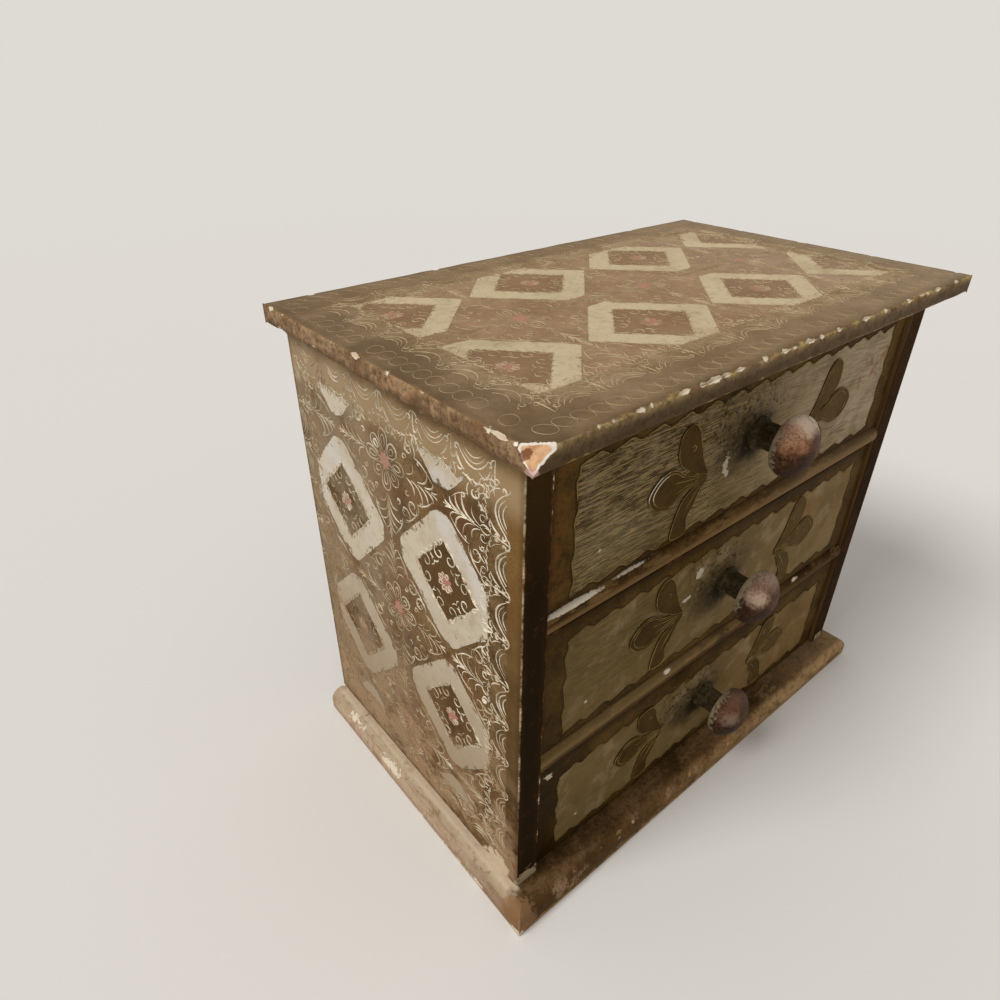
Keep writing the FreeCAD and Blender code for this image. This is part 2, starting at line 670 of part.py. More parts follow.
def write_parts():
    """Check every object of the document, then write one STEP file for each sub-part."""
    doc.recompute()
    for item in doc.Objects:
        if "Invalid" in item.State or "Error" in item.State:
            raise RuntimeError(f"{item.Label} did not build: {item.State}")
    for body in finished:
        if body.Shape.isNull() or not body.Shape.isValid():
            raise RuntimeError(f"{body.Label} has no sound shape")
    os.makedirs("parts", exist_ok=True)
    for body in finished:
        body.Shape.exportStep(f"parts/{body.Label}.step")
        solids = len(body.Shape.Solids)
        print(f"{body.Label}: {solids} solid(s), {body.Shape.Volume:.1f} mm3")


make_base_board()
make_top_board()
make_side_panel("left_side_panel", True)
make_side_panel("right_side_panel", False)
make_divider("lower_divider", LOWER_DIVIDER_FOOT)
make_divider("upper_divider", UPPER_DIVIDER_FOOT)
make_back_panel()
make_base_nails()
make_back_brads()
make_drawer("bottom_drawer", "Sizes.base_thickness", "Sizes.bottom_bay")
make_drawer("middle_drawer", MIDDLE_BAY_FOOT, "Sizes.middle_bay")
make_drawer("top_drawer", TOP_BAY_FOOT, TOP_BAY)
write_parts()
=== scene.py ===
"""A small gilded jewellery chest of three drawers: its finishes, relief work and studio."""

import math
import random
from functools import partialmethod

import bpy
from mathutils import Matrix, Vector, noise


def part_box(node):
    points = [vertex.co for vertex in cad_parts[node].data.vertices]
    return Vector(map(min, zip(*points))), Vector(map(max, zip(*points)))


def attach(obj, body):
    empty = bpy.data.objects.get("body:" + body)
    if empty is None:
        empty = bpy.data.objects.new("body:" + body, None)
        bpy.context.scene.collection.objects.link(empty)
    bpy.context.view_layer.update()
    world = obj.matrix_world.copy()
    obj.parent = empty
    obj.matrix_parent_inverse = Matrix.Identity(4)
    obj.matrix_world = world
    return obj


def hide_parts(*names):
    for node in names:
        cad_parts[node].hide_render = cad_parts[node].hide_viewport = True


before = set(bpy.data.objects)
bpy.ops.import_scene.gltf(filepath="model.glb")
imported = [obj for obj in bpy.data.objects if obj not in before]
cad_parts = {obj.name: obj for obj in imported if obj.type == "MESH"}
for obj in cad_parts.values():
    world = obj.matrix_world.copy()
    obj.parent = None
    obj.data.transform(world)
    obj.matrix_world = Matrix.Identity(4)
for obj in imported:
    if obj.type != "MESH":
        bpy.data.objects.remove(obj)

bl_info = {
    "name": "Gilded jewellery chest",
    "version": (1, 0, 0),
    "blender": (4, 5, 0),
    "location": "View3D > Sidebar > Chest",
    "description": "Finishes, relief work and studio of a small gilded chest of three drawers",
    "category": "Object",
}

MM = 0.001
DRAWERS = ("bottom_drawer", "middle_drawer", "top_drawer")
# how far the case's sides and its front are from the middle, in mm
CASE_SIDE, CASE_FRONT = 89.0, 46.25
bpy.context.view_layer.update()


def box_mm(node):
    """The lowest and highest corner of a node, in millimetres."""
    low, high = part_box(node)
    return low / MM, high / MM


CASE_LOW, CASE_HIGH = box_mm("left_side_panel")
TOP_LOW, TOP_HIGH = box_mm("top_board")


def paint(code):
    """A colour written as six hexadecimal digits, as the numbers that a shader takes."""
    parts = [int(code[i : i + 2], 16) / 255 for i in (0, 2, 4)]
    return tuple(p / 12.92 if p <= 0.04045 else ((p + 0.055) / 1.055) ** 2.4 for p in parts)


# ---------------------------------------------------------------- what a user may change


def colour_property(name, description, code):
    return bpy.props.FloatVectorProperty(
        name=name, description=description, default=paint(code), subtype="COLOR", min=0, max=1
    )


def length_property(name, description, millimetres):
    return bpy.props.FloatProperty(
        name=name, description=description, default=millimetres * MM, unit="LENGTH", min=0
    )


class ChestColours(bpy.types.PropertyGroup):
    """The paints, metals and woods of the chest."""

    gold_light: colour_property("Light gilding", "Where the old gilding is still bright", "866c49")
    gold_dark: colour_property("Dark gilding", "Where the old gilding has gone brown", "4a3520")
    bole: colour_property("Bole", "The red clay under the gilding", "7c4a29")
    gesso: colour_property("Gesso", "The white ground that shows where it is chipped", "e9dfd0")
    cream: colour_property("Cream paint", "The painted lozenges on the sides", "c4b7a2")
    top_cream: colour_property("Top cream paint", "The painted lozenges on the top", "c6b493")
    field: colour_property("Field paint", "The painted field of the top drawer", "927c56")
    lower_field: colour_property("Lower field paint", "The fields of the lower drawers", "79643f")
    blossom: colour_property("Blossom", "The small pink flowers", "b57f70")
    lace: colour_property("Lace", "The raised white scrolls", "e4dac4")
    leaf: colour_property("Leaf", "The gilded leaves of the drawers", "4f3a18")
    bare_wood: colour_property("Bare wood", "The drawer boxes and deep chips", "cfa273")
    stained_wood: colour_property("Stained wood", "The back and the bays", "5a3f26")
    lining: colour_property("Lining", "The cloth in the drawers", "6d1f22")
    knob: colour_property("Knob", "The rubbed turned knobs", "543b2c")
    backdrop: colour_property("Backdrop", "The floor and the studio round it", "dedad4")


class ChestSizes(bpy.types.PropertyGroup):
    """The sizes of the relief work and of the wear."""

    lace_thickness: length_property("Lace thickness", "Radius of the side scrolls' lines", 0.4)
    top_lace_height: length_property("Top lace height", "How far the top scrolls stand up", 0.15)
    side_pitch: bpy.props.FloatVectorProperty(
        name="Side pitch",
        description="Distance from one lozenge to the next on the sides",
        default=(52 * MM, 51 * MM),
        size=2,
        unit="LENGTH",
    )
    top_pitch: bpy.props.FloatVectorProperty(
        name="Top pitch",
        description="Distance from one lozenge to the next on the top",
        default=(50 * MM, 48.8 * MM),
        size=2,
        unit="LENGTH",
    )
    garland_pitch: length_property("Garland pitch", "Length of one swag of the lace border", 15.4)
    arris: length_property("Arris", "Rounding of the top board's edges", 1.2)
    leaf_height: length_property("Leaf height", "How far the leaves stand up", 0.4)


def colours():
    return bpy.context.scene.chest_colours


def sizes():
    return bpy.context.scene.chest_sizes


# ---------------------------------------------------------------- shader building


class Flow:
    """A value, vector or colour on its way through a shader's nodes."""

    def __init__(self, tree, socket):
        self.tree = tree
        self.socket = socket

    def compute(self, operation, *others):
        return node(self.tree, "Math", dict(enumerate((self, *others))), operation=operation)

    __add__ = partialmethod(compute, "ADD")
    __sub__ = partialmethod(compute, "SUBTRACT")
    __mul__ = partialmethod(compute, "MULTIPLY")
    min = partialmethod(compute, "MINIMUM")
    max = partialmethod(compute, "MAXIMUM")
    abs = partialmethod(compute, "ABSOLUTE")

    def __rsub__(self, other):
        return node(self.tree, "Math", {0: other, 1: self}, operation="SUBTRACT")

    def off(self):
        """Everywhere that this mask isn't."""
        return 1 - self

    def between(self, low, high):
        """0 below low and 1 above high, with a soft step between them."""
        values = {0: self, 1: low, 2: high, 3: 0.0, 4: 1.0}
        return node(self.tree, "MapRange", values, interpolation_type="SMOOTHSTEP")

    def below(self, low, high):
        """1 below low and 0 above high."""
        return self.between(low, high).off()

    def xyz(self):
        split = self.tree.nodes.new("ShaderNodeSeparateXYZ")
        plug(split.inputs[0], self)
        return [Flow(self.tree, out) for out in split.outputs]

    def scaled(self, factors):
        """This vector with each axis times its factor."""
        return node(self.tree, "VectorMath", {0: self, 1: factors}, operation="MULTIPLY")

    def noise(self, size, detail=3.0, rough=0.55, bend=0.0):
        """Cloudy noise with patches of about that size, from 0 to 1."""
        values = {"Vector": self, "Scale": 1 / size, "Detail": detail}
        return node(self.tree, "TexNoise", {**values, "Roughness": rough, "Distortion": bend})

    def patches(self, size, low, high, detail=5, rough=0.7):
        """A mask of the patches where such noise is over low, and fully over high."""
        return self.noise(size, detail, rough).between(low, high)

    def cells(self, size):
        """How far it is to the middle of the nearest of many cells of that size."""
        return node(self.tree, "TexVoronoi", {"Vector": self, "Scale": 1 / size})

    def far_from(self, centre, reach):
        """How far this place is from the centre, with each axis counted in its own reach."""
        offset = node(self.tree, "VectorMath", {0: self, 1: centre}, operation="SUBTRACT")
        scaled = node(self.tree, "VectorMath", {0: offset, 1: reach}, operation="DIVIDE")
        return node(self.tree, "VectorMath", {0: scaled}, out="Value", operation="LENGTH")

    def lay(self, mask, colour):
        """Lays a colour over this one, where the mask is."""
        self.socket = mask.over(colour, self).socket

    def over(self, colour, below):
        """This mask's colour laid over the one below it."""
        values = {0: self, 6: below, 7: colour}
        return node(self.tree, "Mix", values, out=2, data_type="RGBA")


def plug(socket, value):
    """Feeds a socket with a flow, or sets it to a number, a colour or a colour's six digits."""
    if isinstance(value, str):
        value = paint(value)
    if isinstance(value, Flow):
        value.tree.links.new(value.socket, socket)
    elif socket.type == "RGBA":
        socket.default_value = (*value[:3], 1)
    else:
        socket.default_value = value


def node(tree, kind, values, out=0, **settings):
    """Adds a shader node, feeds its inputs and gives one of its outputs."""
    made = tree.nodes.new("ShaderNode" + kind)
    for name, setting in settings.items():
        setattr(made, name, setting)
    for key, value in values.items():
        plug(made.inputs[key], value)
    return Flow(tree, made.outputs[out])


def effect(label, inputs, outputs):
    """Makes a shader group of a function. A tuple of three is a vector, one of four a colour."""

    def add_socket(group, name, kind, in_out):
        return group.interface.new_socket(name, in_out=in_out, socket_type="NodeSocket" + kind)

    def make_group(build):
        group = bpy.data.node_groups.new(label, "ShaderNodeTree")
        for key, default in inputs.items():
            size = len(default) if isinstance(default, tuple) else 1
            kind = {1: "Float", 3: "Vector", 4: "Color"}[size]
            socket = add_socket(group, key.replace("_", " ").capitalize(), kind, "INPUT")
            socket.default_value = default
        for name, kind in outputs.items():
            add_socket(group, name, kind, "OUTPUT")
        entry = group.nodes.new("NodeGroupInput")
        flows = [Flow(group, entry.outputs[i]) for i in range(len(inputs))]
        leave = group.nodes.new("NodeGroupOutput")
        for name, result in zip(outputs, build(*flows)):
            plug(leave.inputs[name], result)
        return group

    def wrap(build):
        def place_group(tree, **values):
            used = tree.nodes.new("ShaderNodeGroup")
            used.node_tree = bpy.data.node_groups.get(label) or make_group(build)
            for i, key in enumerate(inputs):
                if key in values:
                    plug(used.inputs[i], values[key])
            return [Flow(tree, used.outputs[name]) for name in outputs]

        return place_group

    return wrap


POINT = (0.0, 0.0, 0.0)
COLOUR = (0.5, 0.5, 0.5, 1.0)


@effect(
    "Old gilding",
    {"place": POINT, "light": COLOUR, "dark": COLOUR, "bole": COLOUR, "rub": 0.3},
    {"Colour": "Color", "Roughness": "Float", "Height": "Float"},
)
def old_gilding(place, light, dark, bole, rub):
    """Gilding gone brown, cloudy and specked, and rubbed through to the bole."""
    patches = place.noise(13, 4, 0.6)
    fine = place.noise(1.7, 4, 0.7)
    dust = place.noise(0.45, 3, 0.7)
    tone = (patches * 0.5 + fine * 0.25 + dust * 0.25).between(0.38, 0.62)
    colour = tone.over(light, dark)
    threshold = 0.72 - rub * 0.3
    rubbed = place.noise(5, 6, 0.75).between(threshold, threshold + 0.09)
    colour.lay(rubbed * 0.8, bole)
    specks = place.cells(1.6).below(0.16, 0.26) * place.noise(7).between(0.5, 0.6)
    colour.lay(specks * 0.65, dark)
    roughness = rubbed * 0.2 + fine * 0.2 + 0.45
    return colour, roughness, fine * 0.5 + dust * 0.3 - specks * 0.4


@effect(
    "Worn arris",
    {"place": POINT, "low": POINT, "high": POINT, "reach": 1.6, "amount": 0.5},
    {"Gesso": "Float", "Bole": "Float", "Dirt": "Float"},
)
def worn_arris(place, low, high, reach, amount):
    """Where a board's edges are chipped to the gesso, rubbed to the bole, and dark with use."""
    axes = []
    for value, start, end in zip(place.xyz(), low.xyz(), high.xyz()):
        axes.append((value - start).min(end - value))
    a, b, c = axes
    arris = a.min(b).max(a.max(b).min(c))
    ragged = place.noise(1.6, 5, 0.75) - 0.5
    cover = place.noise(10, 3, 0.6) - 0.72 + amount * 0.4
    gesso = (reach * (cover * 5 + ragged * 2.4) - arris).between(0, 0.12)
    bole = (reach * (cover * 5 + ragged * 2.4 + 0.9) - arris).between(0, 0.6)
    dirt = (reach * (ragged * 2 + 2.4) - arris).between(-0.5, 1.5)
    return gesso, bole, dirt


@effect(
    "Chipped place",
    {"place": POINT, "centre": POINT, "reach": (1.0, 1.0, 1.0), "ragged": 0.5},
    {"Mask": "Float"},
)
def chipped_place(place, centre, reach, ragged):
    """A ragged patch with its middle there, which reaches about that far along each axis."""
    edge = (place.noise(1.7, 4, 0.7) - 0.5) * ragged * 4
    return ((place.far_from(centre, reach) + edge).below(0.85, 1.1),)


@effect(
    "Lozenge lattice",
    {
        "across": 0.0,
        "down": 0.0,
        "pitch_across": 52.0,
        "pitch_down": 51.0,
        "outer": 24.7,
        "inner": 13.3,
        "cut_across": 21.6,
        "cut_down": 21.6,
        "soft": 2.5,
        "ragged": 0.0,
    },
    {"Cream": "Float", "Ground": "Float", "Blossom": "Float", "Rim": "Float"},
)
def lozenge_lattice(
    across, down, pitch_across, pitch_down, outer, inner, cut_across, cut_down, soft, ragged
):
    """Blunt painted lozenge frames, with a blossom in each and between them, and their rims."""
    half_across, half_down = pitch_across * 0.5, pitch_down * 0.5
    frame_across = (across - half_across).compute("WRAP", half_across, half_across * -1)
    frame_down = (down - half_down).compute("WRAP", half_down, half_down * -1)
    gold_across = across.compute("WRAP", half_across, half_across * -1)
    gold_down = down.compute("WRAP", half_down, half_down * -1)
    lozenge = frame_across.abs() + frame_down.abs()
    inner_edge = lozenge + ragged * 1.4
    frame_middle = (frame_across * frame_across + frame_down * frame_down).compute("SQRT")
    gold_middle = (gold_across * gold_across + gold_down * gold_down).compute("SQRT")
    cut_sides = frame_across.abs() - cut_across
    corners = cut_sides.compute("SMOOTH_MAX", frame_down.abs() - cut_down, soft)
    outline = (lozenge - outer).compute("SMOOTH_MAX", corners, soft) + ragged
    cream = (inner_edge - inner).between(-0.15, 0.15) * outline.below(-0.2, 0.2)
    ground = (inner - inner_edge).between(-0.15, 0.15)
    petals = (frame_down.compute("ARCTAN2", frame_across) * 9).compute("SINE") * 0.45
    small_petals = (gold_down.compute("ARCTAN2", gold_across) * 8).compute("SINE") * 0.4
    flower = (frame_middle - petals - 2.7).min(gold_middle - small_petals - 2.2)
    rim = outline.between(-4.5, 0).max((inner_edge - inner).below(0, 3.5)) * cream
    return cream, ground, (flower + ragged * 0.9).below(-0.3, 0.35), rim


@effect(
    "Brushed paint",
    {
        "place": POINT,
        "colour": COLOUR,
        "stain": COLOUR,
        "stretch": (0.05, 1.0, 1.0),
        "streaks": 0.4,
    },
    {"Colour": "Color", "Height": "Float"},
)
def brushed_paint(place, colour, stain, stretch, streaks):
    """Old brushed paint, scratched along its strokes, stained and finely specked with brown."""
    along = node(place.tree, "VectorMath", {0: place, 1: stretch}, operation="MULTIPLY")
    strokes = along.noise(0.8, 5, 0.7)
    gaps = strokes.between(0.5, 0.62) * streaks
    clouds = place.noise(16, 4, 0.6)
    specks = place.cells(2.3).below(0.1, 0.17) * place.noise(6).between(0.5, 0.58)
    shade = (clouds.between(0.42, 0.75) * 0.4 + gaps * 0.8).min(0.92).max(specks * 0.75)
    return shade.over(stain, colour), strokes * 0.7 - gaps * 0.5


@effect(
    "Wood grain",
    {"place": POINT, "light": COLOUR, "dark": COLOUR, "stretch": (0.03, 1.0, 1.0)},
    {"Colour": "Color", "Height": "Float"},
)
def wood_grain(place, light, dark, stretch):
    """Straight-grained wood with fine pores, its grain along the axis that is stretched."""
    along = node(place.tree, "VectorMath", {0: place, 1: stretch}, operation="MULTIPLY")
    bands = along.noise(3.2, 3, 0.5, 0.6)
    pores = along.noise(0.35, 2, 0.6)
    shade = (bands * 0.7 + pores * 0.3).between(0.36, 0.66)
    return shade.over(dark, light), pores


class Finish:
    """A material in the making, with the place on the surface in millimetres."""

    def __init__(self, name):
        self.material = bpy.data.materials.new(name)
        self.material.use_nodes = True
        self.tree = self.material.node_tree
        self.shader = self.tree.nodes["Principled BSDF"]
        object_place = node(self.tree, "TexCoord", {}, out="Object")
        self.place = object_place.scaled((1 / MM, 1 / MM, 1 / MM))

    def attribute(self, name):
        return node(self.tree, "Attribute", {}, out="Fac", attribute_name=name)

    def gilding(self, rub, light=None, dark=None):
        c = colours()
        values = {"light": light or c.gold_light, "dark": dark or c.gold_dark, "rub": rub}
        return old_gilding(self.tree, place=self.place, bole=c.bole, **values)

    def arris(self, low, high, reach, amount):
        values = {"low": tuple(low), "high": tuple(high), "reach": reach, "amount": amount}
        return worn_arris(self.tree, place=self.place, **values)

    def chip(self, centre, reach, ragged):
        values = {"centre": centre, "reach": reach, "ragged": ragged}
        return chipped_place(self.tree, place=self.place, **values)[0]

    def brushed(self, colour, stain, stretch, streaks):
        values = {"colour": colour, "stain": stain, "stretch": stretch, "streaks": streaks}
        return brushed_paint(self.tree, place=self.place, **values)

    def grain(self, light, dark, stretch=(0.03, 1.0, 1.0)):
        values = {"light": light, "dark": dark, "stretch": stretch}
        return wood_grain(self.tree, place=self.place, **values)

    def done(self, colour, roughness=0.6, height=None, depth=0.1, metallic=0.0, gloss=0.04):
        """Wires the shader. Old varnish gives what it reflects a warm tint."""
        plug(self.shader.inputs["Base Color"], colour)
        plug(self.shader.inputs["Roughness"], roughness)
        plug(self.shader.inputs["Metallic"], metallic)
        self.shader.inputs["Specular IOR Level"].default_value = gloss
        self.shader.inputs["Specular Tint"].default_value = (1.0, 0.75, 0.4, 1)
        if height is not None:
            values = {"Strength": 1.0, "Distance": depth * MM, "Height": height}
            plug(self.shader.inputs["Normal"], node(self.tree, "Bump", values))
        return self.material


def begin(name):
    """A new finish, with its place and that place's three axes."""
    finish = Finish(name)
    return finish, finish.place, *finish.place.xyz()


def dress(piece, material):
    """Gives a piece one material all over."""
    piece.data.materials.clear()
    piece.data.materials.append(material)


def dress_nodes(material, *names):
    for name in names:
        dress(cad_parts[name], material)


# ---------------------------------------------------------------- modelling helpers


def deselect():
    if bpy.context.object and bpy.context.object.mode != "OBJECT":
        bpy.ops.object.mode_set(mode="OBJECT")
    bpy.ops.object.select_all(action="DESELECT")


def finish_piece(piece, name, body, material, smooth):
    """Names a new piece, applies its place, dresses it and lets it ride on its body."""
    deselect()
    bpy.context.view_layer.objects.active = piece
    piece.select_set(True)
    bpy.ops.object.transform_apply(location=True, rotation=True, scale=True)
    bpy.ops.object.shade_smooth_by_angle(angle=math.radians(smooth))
    piece.name = piece.data.name = name
    dress(piece, material)
    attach(piece, body)
    return piece


def mesh_of_curve(name, lines, closed=False, **settings):
    """A mesh made of a curve. Each line is a list of (x, y, z, width), in mm but for the width."""
    deselect()
    curve = bpy.data.curves.new(name, "CURVE")
    for key, setting in settings.items():
        setattr(curve, key, setting)
    for line in lines:
        spline = curve.splines.new("POLY")
        spline.points.add(len(line) - 1)
        spline.use_cyclic_u = closed
        for point, (x, y, z, width) in zip(spline.points, line):
            point.co = (x * MM, y * MM, z * MM, 1)
            point.radius = width
    piece = bpy.data.objects.new(name, curve)
    bpy.context.scene.collection.objects.link(piece)
    piece.select_set(True)
    bpy.context.view_layer.objects.active = piece
    bpy.ops.object.convert(target="MESH")
    return bpy.context.object


def drawn_relief(name, strokes, body, material, thickness):
    """Round raised lines. Each stroke is a list of (point in mm, thickness factor)."""
    lines = [[(*place, factor) for place, factor in stroke] for stroke in strokes]
    settings = {"bevel_depth": thickness, "bevel_resolution": 0, "use_fill_caps": True}
    piece = mesh_of_curve(name, lines, dimensions="3D", **settings)
    return finish_piece(piece, name, body, material, 60)


# ---------------------------------------------------------------- the ornament's strokes, in mm


def spiral(x, y, start_radius, end_radius, start, end, steps=12):
    points = []
    for i in range(steps + 1):
        t = i / steps
        radius = start_radius + (end_radius - start_radius) * t
        angle = math.radians(start + (end - start) * t)
        points.append((x + radius * math.cos(angle), y + radius * math.sin(angle)))
    return points


def sweep(start, pull, end, steps=6):
    points = []
    for i in range(steps + 1):
        t = i / steps
        parts = list(zip(((1 - t) ** 2, 2 * t * (1 - t), t * t), (start, pull, end)))
        points.append(tuple(sum(weight * point[k] for weight, point in parts) for k in (0, 1)))
    return points


def petal(inner, outer, half, steps=12):
    points = []
    for i in range(steps + 1):
        turn = math.tau * i / steps
        reach = (1 - math.cos(turn)) / 2
        width = half * math.sin(turn) * (0.55 + 0.45 * reach)
        points.append((inner + (outer - inner) * reach, width))
    return points


def turned(strokes, angle):
    c, s = math.cos(math.radians(angle)), math.sin(math.radians(angle))
    return [[(c * x - s * y, s * x + c * y) for x, y in stroke] for stroke in strokes]


def mirrored(strokes, across=1, along=-1):
    """Mirrored in the x axis, unless told otherwise."""
    return [[(across * x, along * y) for x, y in stroke] for stroke in strokes]


def moved(strokes, dx, dy):
    return [[(x + dx, y + dy) for x, y in stroke] for stroke in strokes]


def gold_cell():
    """The ornament of a gilded lozenge: a flower of eight petals, four plumes and scrolls."""
    strokes = []
    for k in range(8):
        size = 9.4 if k % 2 == 0 else 8.2
        strokes += turned([petal(2.6, size, 2.6), petal(3.8, size - 1.7, 1.1, 8)], 45 * k)
    plume = [
        sweep((21.8, 0.3), (24.2, 0.4), (24.4, 1.2), 4),
        sweep((18.8, 0.3), (22.6, 0.6), (22.6, 2.9), 5),
        sweep((15.8, 0.3), (20.6, 0.8), (20.2, 4.9), 6),
        sweep((12.8, 0.4), (18.2, 1.0), (17.4, 6.6), 6),
        spiral(16.9, 5.9, 0.8, 0.3, 60, 330, 6),
        sweep((10.6, 0.5), (14.8, 1.4), (13.8, 4.6), 5),
        spiral(12.6, 8.6, 3.0, 0.5, -35, 425, 17),
        sweep((15.1, 6.9), (18.6, 6.6), (22.4, 2.6), 6),
        sweep((13.2, 11.5), (11.4, 14.4), (8.6, 14.6), 5),
        spiral(10.2, 5.4, 1.1, 0.3, 0, 330, 8),
        spiral(8.4, 11.4, 0.9, 0.3, 90, 400, 7),
    ]
    plume = plume + mirrored(plume) + [sweep((25.2, 0), (17, 0), (9.8, 0), 4)]
    for k in range(4):
        strokes += turned(plume, 90 * k)
    return strokes


def cream_cell():
    """The paired scrolls on the small ground inside a cream lozenge, and its lacy edge."""
    half = [
        sweep((14.4, 0.1), (12.2, 0.5), (10.9, 2.2), 5),
        spiral(8.5, 2.5, 2.4, 0.5, 0, 400, 15),
        sweep((5.8, 2.6), (4.4, 3.0), (4.6, 4.8), 4),
        sweep((5.6, 4.6), (5.6, 6.4), (6.7, 6.4), 4),
        sweep((11.6, 1.7), (12.6, 2.2), (12.0, 3.2), 4),
    ]
    edge = []
    for i in range(6):
        t = (i + 0.5) / 6
        edge.append(spiral(13.6 * (1 - t), 13.6 * t, 0.75, 0.75, -30, 120, 4))
    strokes = []
    for k in range(4):
        strokes += turned(half + mirrored(half) + edge, 90 * k)
    for k in range(8):
        strokes += turned([petal(1.2, 3.1, 0.8, 6)], 22.5 + 45 * k)
    return strokes


def lattice(pitch, golds, creams):
    """The gilded and the cream lozenges' strokes, each at its steps across and down."""
    strokes = []
    for cell, (across, down) in ((gold_cell(), golds), (cream_cell(), creams)):
        for i in across:
            for j in down:
                strokes += moved(cell, i * pitch[0], j * pitch[1])
    return strokes


def swag(pitch):
    """One repeat of the lace border, along +x, with +y away from the lozenges."""
    half = pitch / 2
    side = [
        spiral(-5.9, 2.9, 1.0, 0.3, 20, 320, 8),
        spiral(-6.9, 0.4, 1.1, 0.3, 110, 460, 9),
        sweep((-6.2, 1.6), (-5.2, -1.2), (-3.3, -2.0), 5),
        spiral(-4.9, -4.6, 1.5, 0.4, 70, -300, 10),
        sweep((-4.2, -3.2), (-2.0, -3.0), (-0.4, -4.8), 5),
        sweep((-half + 0.1, 4.9), (-half + 1.5, 4.8), (-half + 1.6, 3.3), 4),
        sweep((-half + 0.2, -1.6), (-half + 1.1, -2.8), (-half + 0.2, -4.0), 4),
        sweep((-half + 0.2, -2.0), (-half + 2.2, -3.6), (-half + 0.2, -5.8), 5),
        sweep((-2.4, -4.0), (-1.8, -5.6), (-0.4, -6.2), 4),
    ]
    strokes = [
        sweep((-5.4, 3.6), (0, -3.8), (5.4, 3.6), 10),
        sweep((-4.3, 3.8), (0, -1.6), (4.3, 3.8), 8),
        sweep((-3.0, 3.9), (0, 1.2), (3.0, 3.9), 6),
        sweep((-half, -1.2), (-half + 0.5, 1.6), (-half, 5.2), 5),
    ]
    strokes += side + mirrored(side, -1, 1)
    step = pitch / 8
    for i in range(8):
        x = -half + step * (i + 0.5)
        y = -1.9 - 0.9 * math.cos(math.tau * x / pitch)
        strokes.append(spiral(x, y, step / 2, step / 2, 200, 340, 4))
    return strokes


def border(half_across, half_down, pitch):
    """Swags all the way round a rectangle, which grow or shrink a little to fill it."""
    strokes = []
    for turn, along, out in ((0, half_across, half_down), (90, half_down, half_across)):
        count = max(1, round(2 * along / pitch))
        one = swag(2 * along / count)
        row = []
        for i in range(count):
            row += moved(one, -along + (i + 0.5) * 2 * along / count, out)
        strokes += turned(row, turn) + turned(row, turn + 180)
    return strokes


def within(strokes, left, right, low, high):
    """The parts of the strokes that lie inside a rectangle."""
    kept = []
    for stroke in strokes:
        part = []
        for x, y in stroke + [(1e9, 1e9)]:
            if left <= x <= right and low <= y <= high:
                part.append((x, y))
            else:
                if len(part) > 2:
                    kept.append(part)
                part = []
    return kept


def by_hand(strokes, place, chance, lost=0.05, shake=0.12):
    """Lays strokes on a surface with a hand's unevenness: some are thin, and a few are lost."""
    laid = []
    for stroke in strokes:
        weight = chance.uniform(0.75, 1.2)
        dx, dy = chance.uniform(-shake, shake), chance.uniform(-shake, shake)
        if chance.random() < lost:
            continue
        last = len(stroke) - 1
        points = []
        for i, (x, y) in enumerate(stroke):
            taper = 0.55 + 0.45 * math.sin(math.pi * min(1, (i + 0.6) / (last + 0.6)))
            points.append((place(x + dx, y + dy), weight * taper))
        laid.append(points)
    return laid


def smooth_loop(corners, steps=5):
    """A closed line that runs smoothly through the corners."""
    points = []
    count = len(corners)
    for i in range(count):
        a, b, c, d = (Vector(corners[(i + k - 1) % count]) for k in range(4))
        for k in range(steps):
            t = k / steps
            squared, cubed = 2 * a - 5 * b + 4 * c - d, 3 * b - a - 3 * c + d
            points.append(tuple((2 * b + (c - a) * t + squared * t * t + cubed * t**3) / 2))
    return points


def leaf_outlines():
    """The three leaves on one side of a knob, outward and upward of where they spring."""
    upper = [
        (0.2, 0.6), (2.4, 4.4), (4.6, 9.4), (6.4, 14.6), (8.6, 17.6), (11.4, 18.0),
        (13.9, 15.8), (14.4, 12.4), (13.6, 8.8), (11.4, 6.2), (7.6, 3.8), (3.6, 1.6),
    ]
    middle = [
        (0.0, 0.2), (4.8, 2.0), (10.4, 3.8), (13.4, 6.0), (17.0, 7.0), (21.0, 5.8),
        (24.0, 2.6), (23.8, 0.0), (21.6, -2.6), (17.8, -4.2), (14.0, -4.0), (10.6, -2.2),
        (5.0, -1.0),
    ]
    lower = [
        (0.2, -0.6), (2.6, -3.4), (4.6, -7.6), (6.8, -10.6), (6.6, -15.8), (12.8, -15.8),
        (12.6, -10.8), (11.4, -7.4), (9.8, -4.4), (6.0, -2.0), (2.4, -1.0),
    ]
    return upper, middle, lower


# ---------------------------------------------------------------- pieces


# the middle of the sides' lattice: how far back and how high, in mm
SIDE_MIDDLE = (10.25, 84.0)
# half the depth and half the height of the sides' lace border
SIDE_BORDER = (47, 66)
# how deep the scrolls' round lines lie in the surface, in mm
LACE_SUNK = 0.18


def side_lace():
    """Bright near the upper front corner, and duller and rubbed towards the back and the foot."""
    finish, place, x, y, z = begin("Side lace")
    fade = place.noise(8, 4, 0.65) + y.between(-40, 50) * 0.22 + z.below(15, 130) * 0.24
    rubbed = fade.between(0.44, 0.68)
    colour = (rubbed * 0.8).over("a79578", colours().lace)
    colour.lay(fade.between(0.66, 0.88) * 0.85, "876c4c")
    dirt = place.patches(1.1, 0.5, 0.68, 3)
    colour.lay(dirt * 0.45, "8a7250")
    return finish.done(colour, 0.5, dirt, 0.04)


